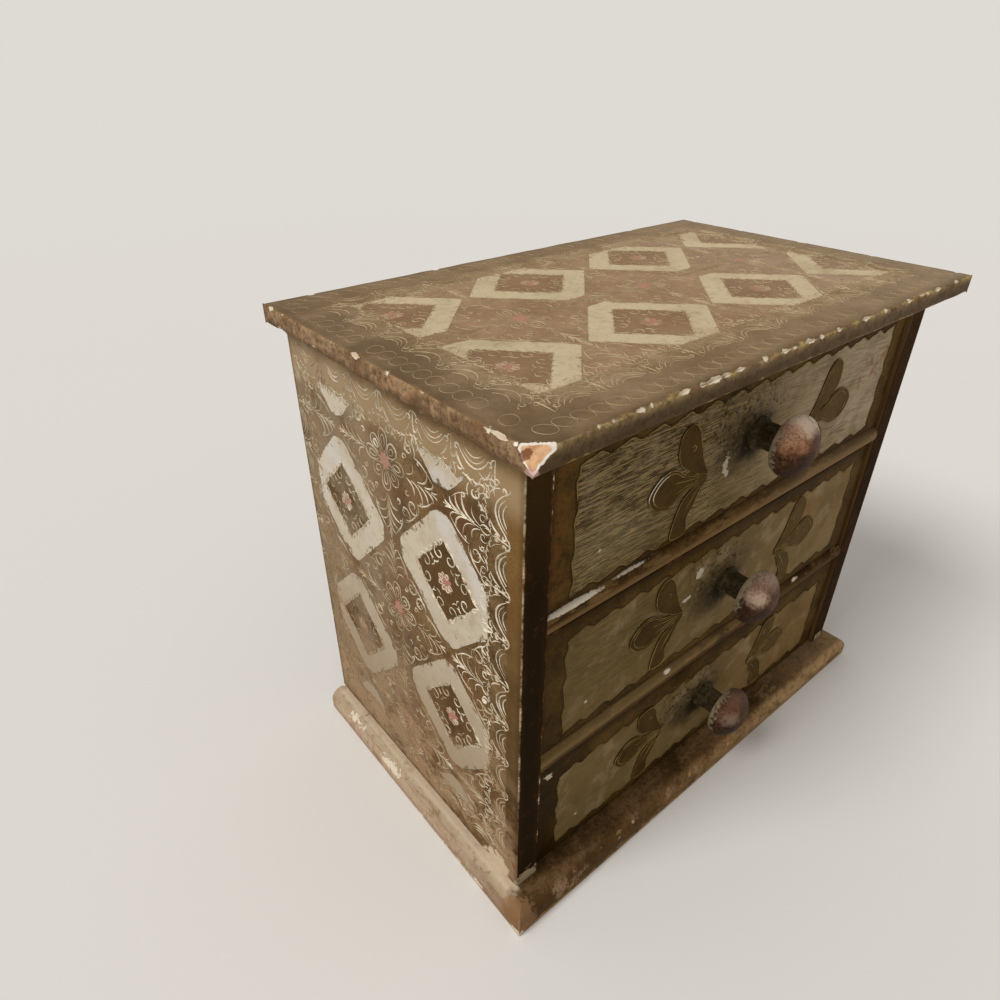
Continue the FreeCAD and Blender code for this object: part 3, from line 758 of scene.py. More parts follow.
def painted_side():
    c = colours()
    finish, place, x, y, z = begin("Painted and gilded side")
    waver = place.noise(6, 2) * 1.4 - 0.7
    across = SIDE_MIDDLE[0] - y + waver
    down = SIDE_MIDDLE[1] - z - waver
    pitch = [length / MM for length in sizes().side_pitch]
    ragged = place.noise(0.9, 3, 0.7) - 0.5 + (place.noise(4, 2) - 0.5) * 1.6
    cream, ground, blossom, rim = lozenge_lattice(
        finish.tree,
        across=across,
        down=down,
        pitch_across=pitch[0],
        pitch_down=pitch[1],
        ragged=ragged,
    )
    inside_across = (43.5 - across.abs()).between(-0.2, 0.2)
    inside = inside_across * (62 - down.abs() + ragged * 4).between(-0.4, 0.4)
    cream, ground = cream * inside, ground * inside
    colour, rough, height = finish.gilding(0.3)
    margin = (y + 40.8).below(-0.6, 0.6)
    grime = place.patches(1.1, 0.5, 0.62, 5, 0.8) * place.patches(11, 0.35, 0.6, 3, 0.6)
    colour.lay(grime * 0.6, "3b2812")
    colour.lay(margin * 0.7, z.between(90, 125).over("77572d", "5c4322"))
    colour.lay(margin * z.below(20, 100) * 0.8, "2e1e0a")
    warm = place.patches(17, 0.42, 0.6, 3, 0.6) * inside * (1 - ground)
    colour.lay(warm * 0.5, "6d4a30")
    # painted light on the band under the top board, where its overhang shades the side, weaker
    # right under the board
    painted_light_under_top = (z - 140).between(0, 8) * ((z - 152).between(0, 4) * -0.5 + 0.75)
    colour.lay(painted_light_under_top, "a98f6c")
    colour.lay(ground * 0.7, "4c341a")
    painted, strokes = finish.brushed(c.cream, "9d8c72", (1.0, 0.25, 0.25), 0.3)
    cool = place.patches(20, 0.45, 0.62, 3, 0.6) * (z - 90).between(0, 25)
    painted.lay(cool * 0.7, "cac4bd")
    dull = z.below(35, 115) * 0.8
    painted.lay(dull, "917d62")
    scuffed = place.patches(2.2, 0.6, 0.68, 5, 0.75) * place.patches(9, 0.45, 0.6, 3, 0.6)
    painted.lay(scuffed * 0.6, "7d6a50")
    worn = (place.noise(3.5, 6, 0.75) + rim * 0.13).between(0.66, 0.72)
    colour.lay(cream * (1 - worn * 0.85), painted)
    shade = (cream - 0.5).abs().below(0.2, 0.5) * inside
    colour.lay(shade * 0.5, "3f2a15")
    colour.lay(blossom * inside * 0.85, c.blossom)
    haze = y.between(-12, 30) * place.patches(14, 0.3, 0.55, 4, 0.6)
    colour.lay(haze * (1 - cream) * 0.45, "a3927b")
    faded = z.below(20, 75) * place.patches(12, 0.4, 0.58, 5, 0.65)
    colour.lay(faded * (1 - cream) * 0.75, "a28567")
    bare = z.below(30, 90) * place.patches(7, 0.56, 0.62) * (1 - cream)
    colour.lay(bare * 0.6, "6a4a2c")
    gesso, bole, dirt = finish.arris(CASE_LOW, CASE_HIGH, 0.8, 0.3)
    # the dark front edge, rubbed red along its arrises
    stile = (y + (CASE_FRONT - 0.1)).below(-0.05, 0.05)
    red = place.patches(4, 0.56, 0.68)
    dark = (red * x.below(0, 60) * 0.4 + red * 0.1).over("462b16", "221608")
    dark.lay(z.between(120, 160) * 0.4, "543c1c")
    colour.lay(stile, dark)
    colour.lay(dirt * 0.4, "35220f")
    colour.lay(bole * (x.below(0, 60) * 0.35 + 0.1), c.bole)
    foot = finish.chip((-CASE_SIDE, -37, 10), (6, 6, 5), 0.6)
    foot = foot.max(finish.chip((CASE_SIDE, -37, 10), (6, 6, 5), 0.6))
    heel = finish.chip((-85, -46.2, 8), (4.5, 3, 6), 0.5)
    heel = heel.max(finish.chip((85, -46.2, 8), (3, 3, 4), 0.5))
    colour.lay(foot, "c9b79c")
    colour.lay(heel, "a08c70")
    colour.lay(gesso * x.below(0, 60) * 0.9, c.gesso)
    # the thin pale line where the front arris is rubbed
    corner = CASE_SIDE - x.abs() + y + CASE_FRONT
    rubbed = corner.below(0.36, 0.5) * place.patches(5, 0.42, 0.6, 5, 0.75)
    colour.lay(rubbed * z.between(30, 70) * 0.7, "bfae8c")
    # the bays inside are bare stained wood
    inner = ((CASE_SIDE - 0.1) - x.abs()).between(-0.05, 0.05) * (1 - stile)
    inner = inner * (y + (CASE_FRONT - 0.45)).between(-0.1, 0.1)
    wood, grain = finish.grain("8a6a45", c.stained_wood, (1.0, 1.0, 0.03))
    colour.lay(inner, wood)
    height = height * (1 - cream) + cream * (strokes * 0.7 + 1.2) - ground * 0.6 - gesso
    rough = rough + cream * 0.15 + stile * 0.25
    return finish.done(colour, rough, height, 0.12, (1 - cream) * (1 - inner) * (1 - stile) * 0.2)


class CHEST_OT_case_sides(bpy.types.Operator):
    """Paints the two side panels and lays the raised scrolls on them"""

    bl_idname = "chest.case_sides"
    bl_label = "Case sides"

    def execute(self, context):
        material = painted_side()
        dress_nodes(material, "left_side_panel", "right_side_panel")
        lace = side_lace()
        pitch = [length / MM for length in sizes().side_pitch]
        for side, name in ((-1, "left_side_lace"), (1, "right_side_lace")):
            strokes = lattice(pitch, ((-1, 0, 1), (-1, 0, 1)), ((-0.5, 0.5), (-0.5, 0.5)))
            strokes = within(strokes, -43.5, 43.0, -61.5, 61.5)
            strokes += border(*SIDE_BORDER, sizes().garland_pitch / MM)
            strokes = within(strokes, -51, 54, -76, 75.5)

            def place(x, y, side=side):
                return (side * (CASE_SIDE - LACE_SUNK), SIDE_MIDDLE[0] - x, SIDE_MIDDLE[1] - y)

            laid = by_hand(strokes, place, random.Random(11 + side))
            drawn_relief(name, laid, "case", lace, sizes().lace_thickness)
        return {"FINISHED"}


def worn_board(low, high, rounding, dents, corner_cut):
    """A board with a fine skin: rounded, dented and with one corner off. "chip" says how deep."""
    deselect()
    size = high - low
    # the skin's rows from each arris inward, then about a step apart, and its layers in height
    ends = [0.0, 0.3, 0.65, 1.1, 1.6, 2.2, 2.9, 3.7, 4.6, 5.6, 6.7, 8.0]
    step = 1.4
    layers = 12
    counts = [round((size[k] - 2 * ends[-1]) / step) + 2 * (len(ends) - 1) for k in (0, 1)]
    bpy.ops.mesh.primitive_grid_add(
        x_subdivisions=counts[0], y_subdivisions=counts[1], size=1, location=(0, 0, 0)
    )
    board = bpy.context.object
    bpy.ops.object.mode_set(mode="EDIT")
    bpy.ops.mesh.select_all(action="SELECT")
    for _ in range(layers):
        bpy.ops.mesh.extrude_region_move(TRANSFORM_OT_translate={"value": (0, 0, 1)})
    bpy.ops.mesh.select_all(action="SELECT")
    bpy.ops.mesh.remove_doubles(threshold=1e-6)
    bpy.ops.mesh.normals_make_consistent(inside=False)
    bpy.ops.object.mode_set(mode="OBJECT")

    def spread(fraction, count, length):
        """Where a row of the skin lies, with rows closer together near the arrises."""
        row = round(fraction * count)
        from_end = min(row, count - row)
        if from_end < len(ends):
            place = ends[from_end]
        else:
            inner = count - 2 * (len(ends) - 1)
            place = ends[-1] + (from_end - len(ends) + 1) * (length - 2 * ends[-1]) / inner
        return place if row == from_end else length - place

    a, b, c = (Vector(point) for point in corner_cut)
    facing = (b - a).cross(c - a).normalized()
    if (Vector((low.x, low.y, high.z)) - a).dot(facing) < 0:
        facing = -facing
    depths = []
    for vertex in board.data.vertices:
        local = Vector(
            (
                spread(vertex.co.x + 0.5, counts[0], size.x),
                spread(vertex.co.y + 0.5, counts[1], size.y),
                vertex.co.z / layers * size.z,
            )
        )
        toward = [1 if local[k] < size[k] / 2 else -1 for k in range(3)]
        inset = [min(local[k], size[k] - local[k]) for k in range(3)]
        here = low + local
        near = sorted(range(3), key=lambda k: inset[k])[:2]
        # the rounded arris, a little uneven, with its vertical edges almost sharp
        uneven = 1 + 0.35 * noise.noise(here * 0.12)
        radius = (0.5 if 2 not in near else rounding) * uneven
        gaps = [radius - inset[k] for k in near]
        if min(gaps) > 0 and math.hypot(*gaps) > radius:
            for k, gap in zip(near, gaps):
                inset[k] = radius - gap * radius / math.hypot(*gaps)
        taken = 0.0
        for centre, reach, depth in dents:
            offset = here - Vector(centre)
            share = sum(abs(offset[k]) / reach[k] for k in range(3)) + 0.3 * noise.noise(here * 1.1)
            if share < 1:
                push = min(1, 1.6 * (1 - share)) * depth
                for k in near:
                    inset[k] += push
                taken = max(taken, push)
        for k in range(3):
            local[k] = inset[k] if toward[k] > 0 else size[k] - inset[k]
        here = low + local
        lack = (here - a).dot(facing) + 0.35 * noise.noise(here * 0.7)
        if lack > 0:
            here -= facing * lack
            taken = max(taken, lack)
        depths.append(taken)
        vertex.co = here * MM
    board.data.attributes.new("chip", "FLOAT", "POINT").data.foreach_set("value", depths)
    board.data.update()
    return board


# the middle lozenge of the top, the middle of its depth, and half the painted lattice's width
TOP_MIDDLE = (3.1, 4.25)
TOP_CENTRE = 3.5
TOP_PAINTED = 76.5
# half the width and half the depth of the lace border and of the chain of ovals
TOP_BORDER = (80, 43)
TOP_CHAIN = (89.4, 52.6)
# how much of the top board's height is left to the scrolls on it
TOP_LOWERED = 0.18


def broken_corner(low, high):
    """Three points of the break at the front left corner."""
    return (
        (low.x, low.y + 5.4, high.z),
        (low.x + 7.6, low.y, high.z),
        (low.x, low.y, low.z + 0.2),
    )


def top_dents(low, high):
    """The chips along the edges: the middle of each, its reach and its depth."""
    chips = []
    for x, long, deep in (
        (-77.5, 1.1, 0.4), (-72.5, 1.4, 0.5), (-65, 2.4, 0.5), (-61.5, 1.4, 0.4), (-51, 3.2, 0.6),
        (-44.5, 2.2, 0.7), (-40, 4.6, 0.9), (-36, 2.2, 0.9), (-31.5, 2.6, 0.6), (-21, 1.7, 0.5),
        (-12.5, 2.6, 0.6), (-8.7, 1.6, 0.5), (-1, 3.4, 0.8), (4, 1.8, 0.5), (13, 2.4, 0.5),
        (27, 3.4, 0.6), (38, 1.6, 0.5), (52, 2.6, 0.6), (71, 3.0, 0.7), (84, 2.2, 0.6),
    ):
        chips.append(((x, low.y, high.z), (long, 1.7, 1.4), deep))
    for y, z, long, deep in (
        (-49.4, high.z, 1.2, 0.4), (-44.9, high.z, 2.6, 1.1), (-41.6, high.z, 2.2, 0.5),
        (-18, high.z, 1.4, 0.4), (10, high.z, 2.4, 1.1), (31.7, low.z, 4.4, 1.0),
        (38, low.z, 2.0, 0.5), (52, low.z, 4.6, 0.6), (57, high.z, 2.0, 0.6),
        (-5, high.z, 1.2, 0.4), (22, high.z, 1.2, 0.3),
    ):
        chips.append(((low.x, y, z), (1.7, long, 1.8), deep))
    for y, long, deep in (
        (-50, 2.4, 0.8), (-22, 2.0, 0.5), (6, 3.2, 0.7), (33, 1.8, 0.5), (55, 2.6, 0.8),
    ):
        chips.append(((high.x, y, high.z), (1.7, long, 1.4), deep))
    for x, long, deep in ((-80, 2.0, 0.6), (-35, 3.0, 0.6), (12, 1.8, 0.5), (60, 2.6, 0.7)):
        chips.append(((x, high.y, high.z), (long, 1.7, 1.4), deep))
    return chips


def oval_chain(half_across, half_down):
    """A chain of small leaning ovals round the top's edge."""
    strokes = []
    for turn, along, out in ((0, half_across, half_down), (90, half_down, half_across)):
        count = round(2 * along / 5.1)
        for i in range(count):
            oval = [(2.4 * x + 0.5 * y, 2.4 * y) for x, y in spiral(0, 0, 1, 1, 0, 360, 12)]
            row = moved([oval], -along + (i + 0.5) * 2 * along / count, out)
            strokes += turned(row, turn) + turned(row, turn + 180)
    return strokes


def top_lace():
    """Thin pale gold, a little brighter along the front and the left."""
    finish, place, x, y, z = begin("Top lace")
    near = x.below(-92, -20) * 0.07 + y.below(-52, 0) * 0.05
    rubbed = (place.noise(7, 4, 0.7) - near).between(0.36, 0.6)
    colour = (rubbed * 0.9).over("8f7858", "b3a180")
    outer = (x.abs() - 84).max((y - TOP_CENTRE).abs() - 47).between(-0.5, 0.5)
    colour.lay(outer * 0.5, "8a7654")
    return finish.done(colour, 0.5)


def painted_top(low, high):
    c = colours()
    finish, place, x, y, z = begin("Painted and gilded top")
    waver = place.noise(6, 2) * 1.8 - 0.9
    across = x - TOP_MIDDLE[0] + waver
    down = TOP_MIDDLE[1] - y - waver
    pitch = [length / MM for length in sizes().top_pitch]
    ragged = place.noise(0.9, 3, 0.7) - 0.5
    cream, ground, blossom, rim = lozenge_lattice(
        finish.tree,
        across=across,
        down=down,
        pitch_across=pitch[0],
        pitch_down=pitch[1],
        outer=23.8,
        inner=14.2,
        cut_across=23.4,
        cut_down=20.2,
        soft=1.6,
        ragged=ragged * 1.3,
    )
    face = (z - high.z + 0.3).between(-0.1, 0.1)
    inside = (TOP_PAINTED - x.abs()).between(-0.3, 0.3)
    inside = inside * (39.75 - (y - TOP_CENTRE).abs()).between(-0.3, 0.3) * face
    cream, ground = cream * inside, ground * inside
    colour, rough, height = finish.gilding(0.25, "a1886a", "7a6244")
    band = (x.abs() - 82.5).max((y - TOP_CENTRE).abs() - 45.5).between(-0.6, 0.6) * face
    colour.lay(inside * (1 - cream) * 0.4, x.between(0, 80).over("ab937f", "a07c60"))
    colour.lay(band * 0.5, x.between(-30, 90).over("7f6f5c", "6f5c46"))
    # painted shade in patches on the top near its left edge
    painted_shade_left = x.below(-95, -60) * face * place.patches(15, 0.35, 0.6, 3, 0.6)
    colour.lay(painted_shade_left * 0.45, "4b3c2a")
    colour.lay(ground * 0.3, "6f5034")
    painted, strokes = finish.brushed(c.top_cream, "94805c", (0.3, 0.3, 1.0), 0.35)
    worn = (place.noise(3.0, 6, 0.75) + rim * 0.08).between(0.64, 0.72)
    colour.lay(cream * (1 - worn) * 0.92, painted)
    colour.lay(blossom * inside * 0.65, c.blossom)
    # the edges: brown, golden with painted light along the upper arris, with painted shade on their
    # lower part, rusty on the left
    lit = (z - low.z).between(3.0, 6.2)
    golden = place.patches(9, 0.4, 0.6, 4)
    edge = (lit * golden).over("c2a876", "836a4e")
    rust = place.patches(4, 0.5, 0.62, 5, 0.75) * y.between(-50, -10) * y.below(-5, 20)
    leftward = x.below(-94.4, -93)
    edge.lay(leftward * 0.8, golden.over("ac8c6b", "7c5f45"))
    edge.lay(rust * leftward * 0.6, "bb8a62")
    olive = place.patches(1.5, 0.48, 0.58, 6, 0.8)
    edge.lay(olive * 0.6, leftward.over("432b18", "48361e"))
    # dark mottle and painted shade on the lower part of the edges
    mottle_and_painted_shade = place.patches(3.2, 0.46, 0.58, 5, 0.75) * (z - low.z).below(1.5, 5.5)
    edge.lay(mottle_and_painted_shade * 0.45, "2f220f")
    # painted shade on the lower part of the front, right and back edges
    lower = (z - low.z).below(2.6, 5.0) * leftward.off()
    edge.lay(lower * (x.below(-30, 30) * 0.2 + 0.45), "2a1e11")
    # painted shade along the foot of the left edge
    edge.lay((z - low.z).below(0.8, 2.4) * leftward * 0.4, "3a2615")
    colour.lay(face.off() * 0.9, edge)
    gesso, bole, dirt = finish.arris(low, high, 1.1, 0.3)
    colour.lay(dirt * 0.25, "4a3319")
    golden_arris = bole * y.below(-54, -50)
    colour.lay(bole * 0.25, "8a6236")
    colour.lay(golden_arris * golden * 0.7, "b3955a")
    colour.lay(gesso * 0.8, "dfd2bf")
    chip = finish.attribute("chip")
    broken = x.below(-86, -84) * y.below(-48, -46)
    flaked = broken.over(c.gesso, "d8c9b2")
    colour.lay((chip + ragged * 0.6).between(0.2, 0.34), flaked)
    bare, grain = finish.grain("dfb58d", "b98257", (0.12, 1.0, 1.0))
    corner = x.below(-86, -85) * y.below(-49, -48)
    deep = (chip + ragged * 0.9).between(0.7, 1.0) * corner
    colour.lay(deep, bare)
    crack = finish.chip((low.x + 1.8, low.y + 3.2, high.z - 2), (2.6, 0.9, 1.2), 0.6)
    colour.lay(crack * 0.8, "6e3d22")
    foot = finish.chip((low.x, low.y, low.z + 0.6), (2.2, 2.2, 1.6), 0.6)
    colour.lay(foot * 0.6, "c79f90")
    height = height * (1 - cream) + cream * (strokes * 0.7 + 1.0) - gesso
    return finish.done(colour, rough + cream * 0.15, height, 0.12, (1 - cream) * face * 0.15)


class CHEST_OT_top_board(bpy.types.Operator):
    """Makes the top board with its chipped edges, its painted lattice and its raised scrolls"""

    bl_idname = "chest.top_board"
    bl_label = "Top board"

    def execute(self, context):
        low, high = TOP_LOW.copy(), TOP_HIGH.copy()
        high.z -= TOP_LOWERED
        dents, corner = top_dents(low, high), broken_corner(low, high)
        board = worn_board(low, high, sizes().arris / MM, dents, corner)
        finish_piece(board, "worn_top_board", "case", painted_top(low, high), 50)
        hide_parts("top_board")
        pitch = [length / MM for length in sizes().top_pitch]
        golds, creams = ((-2, -1, 0, 1, 2), (-1, 0, 1)), ((-1.5, -0.5, 0.5, 1.5), (-0.5, 0.5))
        strokes = lattice(pitch, golds, creams)
        left, right = -TOP_PAINTED - TOP_MIDDLE[0], TOP_PAINTED - TOP_MIDDLE[0]
        strokes = within(strokes, left, right, -39, 40.5)
        centre = -TOP_MIDDLE[0], TOP_MIDDLE[1] - TOP_CENTRE
        strokes += moved(border(*TOP_BORDER, sizes().garland_pitch / MM), *centre)

        def place(x, y):
            return (TOP_MIDDLE[0] + x, TOP_MIDDLE[1] - y, high.z)

        laid = by_hand(strokes, place, random.Random(5), 0.1)
        for oval in by_hand(moved(oval_chain(*TOP_CHAIN), *centre), place, random.Random(6), 0.06):
            laid.append([(point, factor * 0.7) for point, factor in oval])
        laid = [s for s in laid if not (s[0][0][0] < -85 and s[0][0][1] < -46)]
        drawn_relief("top_lace", laid, "case", top_lace(), sizes().top_lace_height)
        return {"FINISHED"}


class CHEST_OT_base_board(bpy.types.Operator):
    """Finishes the base board: worn cream and pink on the left, brown and gold along the front"""

    bl_idname = "chest.base_board"
    bl_label = "Base board"

    def execute(self, context):
        c = colours()
        low, high = box_mm("base_board")
        finish, place, x, y, z = begin("Worn base")
        colour, rough, height = finish.gilding(0.3, "6f5334", "3a2a16")
        # along the front, the ledge is dark and the outer edge tan and gold, lightest at the right
        # with painted light where the case's shadow falls
        tan = place.patches(6, 0.36, 0.56)
        outer = y.below(-53.6, -51.6)
        painted_light_rightward = x.between(-40, 80)
        tan_share = outer * (tan * 0.65 + 0.25) * (x.between(-70, 20) * 0.7 + 0.3)
        colour.lay(tan_share, painted_light_rightward.over("c09c6e", "8c6a42"))
        colour.lay(outer * x.below(-60, 0) * 0.5, "33230f")
        pink = place.patches(9, 0.54, 0.64)
        colour.lay(pink * outer * 0.6, "ab8a6c")
        flecks = place.cells(3.4).below(0.14, 0.26) * place.patches(8, 0.45, 0.6, 3, 0.6)
        upper_edge = ((z - 6.2).abs() + (y + 53.6).abs()).below(1.0, 2.4)
        colour.lay(flecks * upper_edge * 0.85, "c4ab8a")
        ledge = place.scaled((0.5, 1.0, 1.0)).patches(5, 0.5, 0.62, 5, 0.75) * (1 - outer)
        colour.lay(ledge * (painted_light_rightward * 0.45 + 0.25), "8c7050")
        # painted light on the ledge's right part, in the case's shadow
        colour.lay(x.between(30, 75) * (1 - outer) * 0.5, "9a7d5b")
        olive = z.below(0.6, 2.4) * place.patches(5, 0.36, 0.56, 4)
        colour.lay(olive * 0.7, "a38443")
        grime = place.patches(2.2, 0.52, 0.62, 6, 0.8)
        colour.lay(grime * 0.5, "3c2a14")
        # the left is worn to cream on the ledge and to pink across the edge
        front_end = (y + 47 + (place.noise(4, 3, 0.6) - 0.5) * 8).between(-2, 2)
        left = (x + 88.6).below(-0.4, 0.4) * front_end
        streaks = place.scaled((1.0, 1.0, 0.08)).patches(1.6, 0.4, 0.62)
        worn, strokes = finish.brushed("baa78c", "8c7456", (0.3, 0.1, 1.0), 0.6)
        side_face = (x - low.x - 0.9).below(-0.4, 0.6)
        worn.lay(side_face * streaks * 0.85, "b59480")
        worn.lay(side_face * y.below(-45, -10) * 0.5, "7a644f")
        cut = place.scaled((1.0, 1.0, 0.1)).patches(0.9, 0.58, 0.64, 5, 0.75) * side_face
        worn.lay(cut * 0.7, "7e5f42")
        brown = place.patches(6, 0.56, 0.64, 5, 0.75)
        worn.lay(brown * 0.6, "86643f")
        pale = (place.noise(9, 4, 0.7) + y.below(-50, 10) * 0.12).between(0.38, 0.5)
        inner_band = (x + 91.8).between(-0.5, 0.5) * pale
        worn.lay(inner_band * 0.7, "ccbaa2")
        colour.lay(left * 0.95, worn)
        gesso, bole, dirt = finish.arris(low, high, 1.3, 0.42)
        colour.lay(dirt * 0.2, "4a3018")
        colour.lay(bole * 0.4, "b08a5c")
        tip = finish.chip((low.x, low.y + 2, 4), (7, 8, 8), 0.4)
        colour.lay(tip * 0.6, "8f6c4c")
        colour.lay(gesso * 0.9, c.gesso)
        for centre, reach in (
            ((low.x, low.y + 1, 0.6), (2.2, 2.6, 1.2)),
            ((low.x, -34, 1.0), (2, 2.4, 1.4)),
            ((low.x, 18, 6), (2, 6, 2)),
            ((low.x, 44, 8), (2, 7, 2)),
        ):
            colour.lay(finish.chip(centre, reach, 0.9) * 0.8, "dccfbb")
        under = (z - 0.3).below(-0.1, 0.1)
        wood, grain = finish.grain("a98158", "6f4c2c", (0.04, 1.0, 1.0))
        colour.lay(under, wood)
        height = height + strokes * left - gesso
        dress_nodes(finish.done(colour, rough + left * 0.15, height, 0.14, 0.1), "base_board")
        return {"FINISHED"}


# the middle and the reach of each pale chip
DIVIDER_CHIPS = {
    "upper_divider": (
        ((-71.5, -45.9, 112.3), (12, 1.6, 0.9)),
        ((-50, -45.9, 112.5), (10, 1.6, 0.5)),
    ),
    "lower_divider": (((-26, -46.2, 60.4), (2.6, 1.2, 1.2)), ((48, -46.2, 60.4), (4, 1.2, 1.0))),
}

# the light and the dark of the gilding
DIVIDER_GOLDS = {"upper_divider": ("6e5029", "33220c"), "lower_divider": ("553c1a", "241707")}


class CHEST_OT_dividers(bpy.types.Operator):
    """Finishes the two dividers, with their chipped front edges"""

    bl_idname = "chest.dividers"
    bl_label = "Dividers"

    def execute(self, context):
        c = colours()
        for name, chips in DIVIDER_CHIPS.items():
            low, high = box_mm(name)
            finish, place, x, y, z = begin(name.replace("_", " ").capitalize())
            colour, rough, height = finish.gilding(0.2, *DIVIDER_GOLDS[name])
            up = z - low.z
            if name == "upper_divider":
                colour.lay(x.below(-70, -45) * 0.7, "2c1e0c")
                colour.lay(x.between(-10, 50) * 0.7, "7a6448")
                # painted light on the lower half of the front edge, which lies in shade
                colour.lay(up.below(2.0, 4.0) * 0.75, "836640")
            else:
                # painted highlight along the upper arris towards the left, and painted light on the
                # lower half
                colour.lay(up.between(2.2, 4.6) * x.below(-30, 30) * 0.55, "a3875a")
                colour.lay(up.below(1.5, 3.5) * 0.4, "6b5232")
            # ochre gilding along the upper arris, with a painted highlight in it
            ochre = place.scaled((0.3, 1.0, 1.0)).patches(4, 0.5, 0.6)
            colour.lay(ochre * up.between(2.6, 4.6) * 0.45, "a08050")
            # the ends are let into the sides, so they don't wear
            low.x, high.x = -500, 500
            gesso, bole, dirt = finish.arris(low, high, 0.9, 0.35)
            colour.lay(dirt * 0.35, "2f1d0f")
            colour.lay(bole * 0.3, "8f6a38")
            colour.lay(gesso * 0.75, c.gesso)
            for centre, reach in chips:
                colour.lay(finish.chip(centre, reach, 0.2), "ddd0bb")
            inner = (y - (low.y + 2.5)).between(-0.6, 0.6)
            wood, grain = finish.grain("8a6a45", c.stained_wood)
            colour.lay(inner, wood)
            dress_nodes(finish.done(colour, rough, height - gesso, 0.14, 0.1), name)
        return {"FINISHED"}


class CHEST_OT_back(bpy.types.Operator):
    """Finishes the back board and the nails and brads"""

    bl_idname = "chest.back"
    bl_label = "Back and fixings"

    def execute(self, context):
        finish = Finish("Stained back board")
        wood, grain = finish.grain("7a5734", colours().stained_wood
        )
        clouds = finish.place.patches(30, 0.35, 0.7, 4, 0.6)
        dress_nodes(finish.done((clouds * 0.4).over("3f2c1b", wood), 0.7, grain, 0.1), "back_panel")
        steel = Finish("Dull steel")
        tarnish = steel.place.patches(0.8, 0.45, 0.65, 4)
        colour = (tarnish * 0.7).over("5b4a3c", "9a948b")
        dull = steel.done(colour, tarnish * 0.3 + 0.4, metallic=1 - tarnish * 0.6)
        names = ["base_nails", "back_panel_brads"]
        for drawer in DRAWERS:
            names += [f"{drawer}_pins", f"{drawer}_knob_screw"]
        dress_nodes(dull, *names)
        return {"FINISHED"}


# a reach so long that depth doesn't count
FLAT = 400

# height of the border over and under the field, and of the leaves' root over the front's middle
FRONT_BORDERS = {
    "top_drawer": (8.4, 2.4, -5.6),
    "middle_drawer": (5.8, 4.1, -1.5),
    "bottom_drawer": (8.6, 4.1, -1.8),
}

# the paint of the field, its lights to the right, and how strongly it is scratched
FRONT_FIELDS = {
    "top_drawer": ("field", "b7a286", 1.0),
    "middle_drawer": ("lower_field", "88704b", 0.3),
    "bottom_drawer": ("lower_field", "80653f", 0.2),
}


def painted_front(drawer, low, high, middle, field_edges):
    c = colours()
    finish, place, x, y, z = begin(drawer.replace("_", " ").capitalize() + " paint")
    waves = []
    for along in (x, z):
        turn = along * (math.tau / 10.6)
        waves.append(turn.compute("SINE") * 0.65 + (turn * 2).compute("SINE") * 0.25)
    side = x.abs() * -1 - field_edges[0] - waves[1] * 0.6
    above = z * -1 + field_edges[2] - waves[0]
    below = z - field_edges[1] + waves[0]
    edge = side.min(above).min(below) + (place.noise(2.5, 3, 0.6) - 0.5) * 0.6
    field = edge.between(-0.12, 0.12)
    gold, rough, height = finish.gilding(0.12, "5c441e", "2e200b")
    shaded = x.below(-78, -66) * z.below(10, 110)
    gold.lay(shaded * 0.8, "1c1104")
    russet = x.below(-78, -70) * z.between(112, 118) * place.patches(5, 0.4, 0.6, 4)
    gold.lay(russet * 0.6, "6b4420")
    # painted shade along the top of the front, under the board or divider above it
    gold.lay((z - high.z + 5).between(0, 4) * 0.5, "241706")
    tone, lights, wear = FRONT_FIELDS[drawer]
    tinted = x.between(-20, 60).over(lights, getattr(c, tone))
    painted, strokes = finish.brushed(tinted, "4d3c1c", (0.12, 2.6, 2.6), 0.25 + 0.3 * wear)
    scratched = (x.below(-45, 10) * 0.75 + 0.25) * wear
    scratches = place.scaled((0.06, 1.0, 1.0)).patches(0.36, 0.49, 0.56, 5, 0.8)
    painted.lay(scratched * scratches * 0.85, "3a2c14")
    light = place.patches(11, 0.5, 0.64, 5, 0.65)
    painted.lay(light * 0.5, "9c8769")
    if wear == 1:
        low_left = place.far_from((-60, 0, field_edges[1] + 8), (26, FLAT, 12)).below(0.3, 1.1)
        painted.lay(low_left * 0.4, "a08d68")
    yellow = place.patches(22, 0.45, 0.62, 4, 0.6) * (z - field_edges[1]).below(0, 26)
    painted.lay(yellow * 0.45, "6f5a2e")
    rust = place.patches(10, 0.56, 0.66) * x.between(10, 55)
    painted.lay(rust * 0.55, "7f5128")
    colour = field.over(painted, gold)
    # the groove's dark is a painted shadow in the incised line
    groove = ((edge + 0.75).abs() - 0.25).below(-0.15, 0.15)
    lip = ((edge + 0.2).abs() - 0.13).below(-0.1, 0.1)
    lip = lip * place.patches(5, 0.35, 0.55, 3, 0.6)
    colour.lay(groove * (0.3 + 0.25 * wear), "2b1c0a")
    colour.lay(lip * (0.3 + 0.4 * wear), "a8905a")
    knob_grime_and_shadow(place, colour, middle)
    gesso, bole, dirt = finish.arris(low, high, 0.9, 0.28)
    colour.lay(dirt * 0.45, "2d1d10")
    colour.lay(bole * 0.5, c.bole)
    colour.lay(gesso * 0.6, "cdbfa4")
    for across, up, wide, tall in ((-63, -12, 0.6, 0.5), *FLAKES[drawer]):
        flake = finish.chip((across, low.y, middle + up), (wide, 3, tall), 0.8)
        colour.lay(flake * 0.85, "cbc0a8")
    back = (y - (low.y + 2.5)).between(-0.3, 0.3)
    wood, grain = finish.grain(c.bare_wood, "a87a4c")
    colour.lay(back, wood)
    brushed = strokes * 0.6 + 0.8 + scratched * scratches * -0.9
    height = height * (1 - field) + field * brushed - groove * 1.6 + lip * 0.7 - gesso
    return finish.done(colour, rough + field * 0.08, height, 0.15, (1 - field) * 0.15)


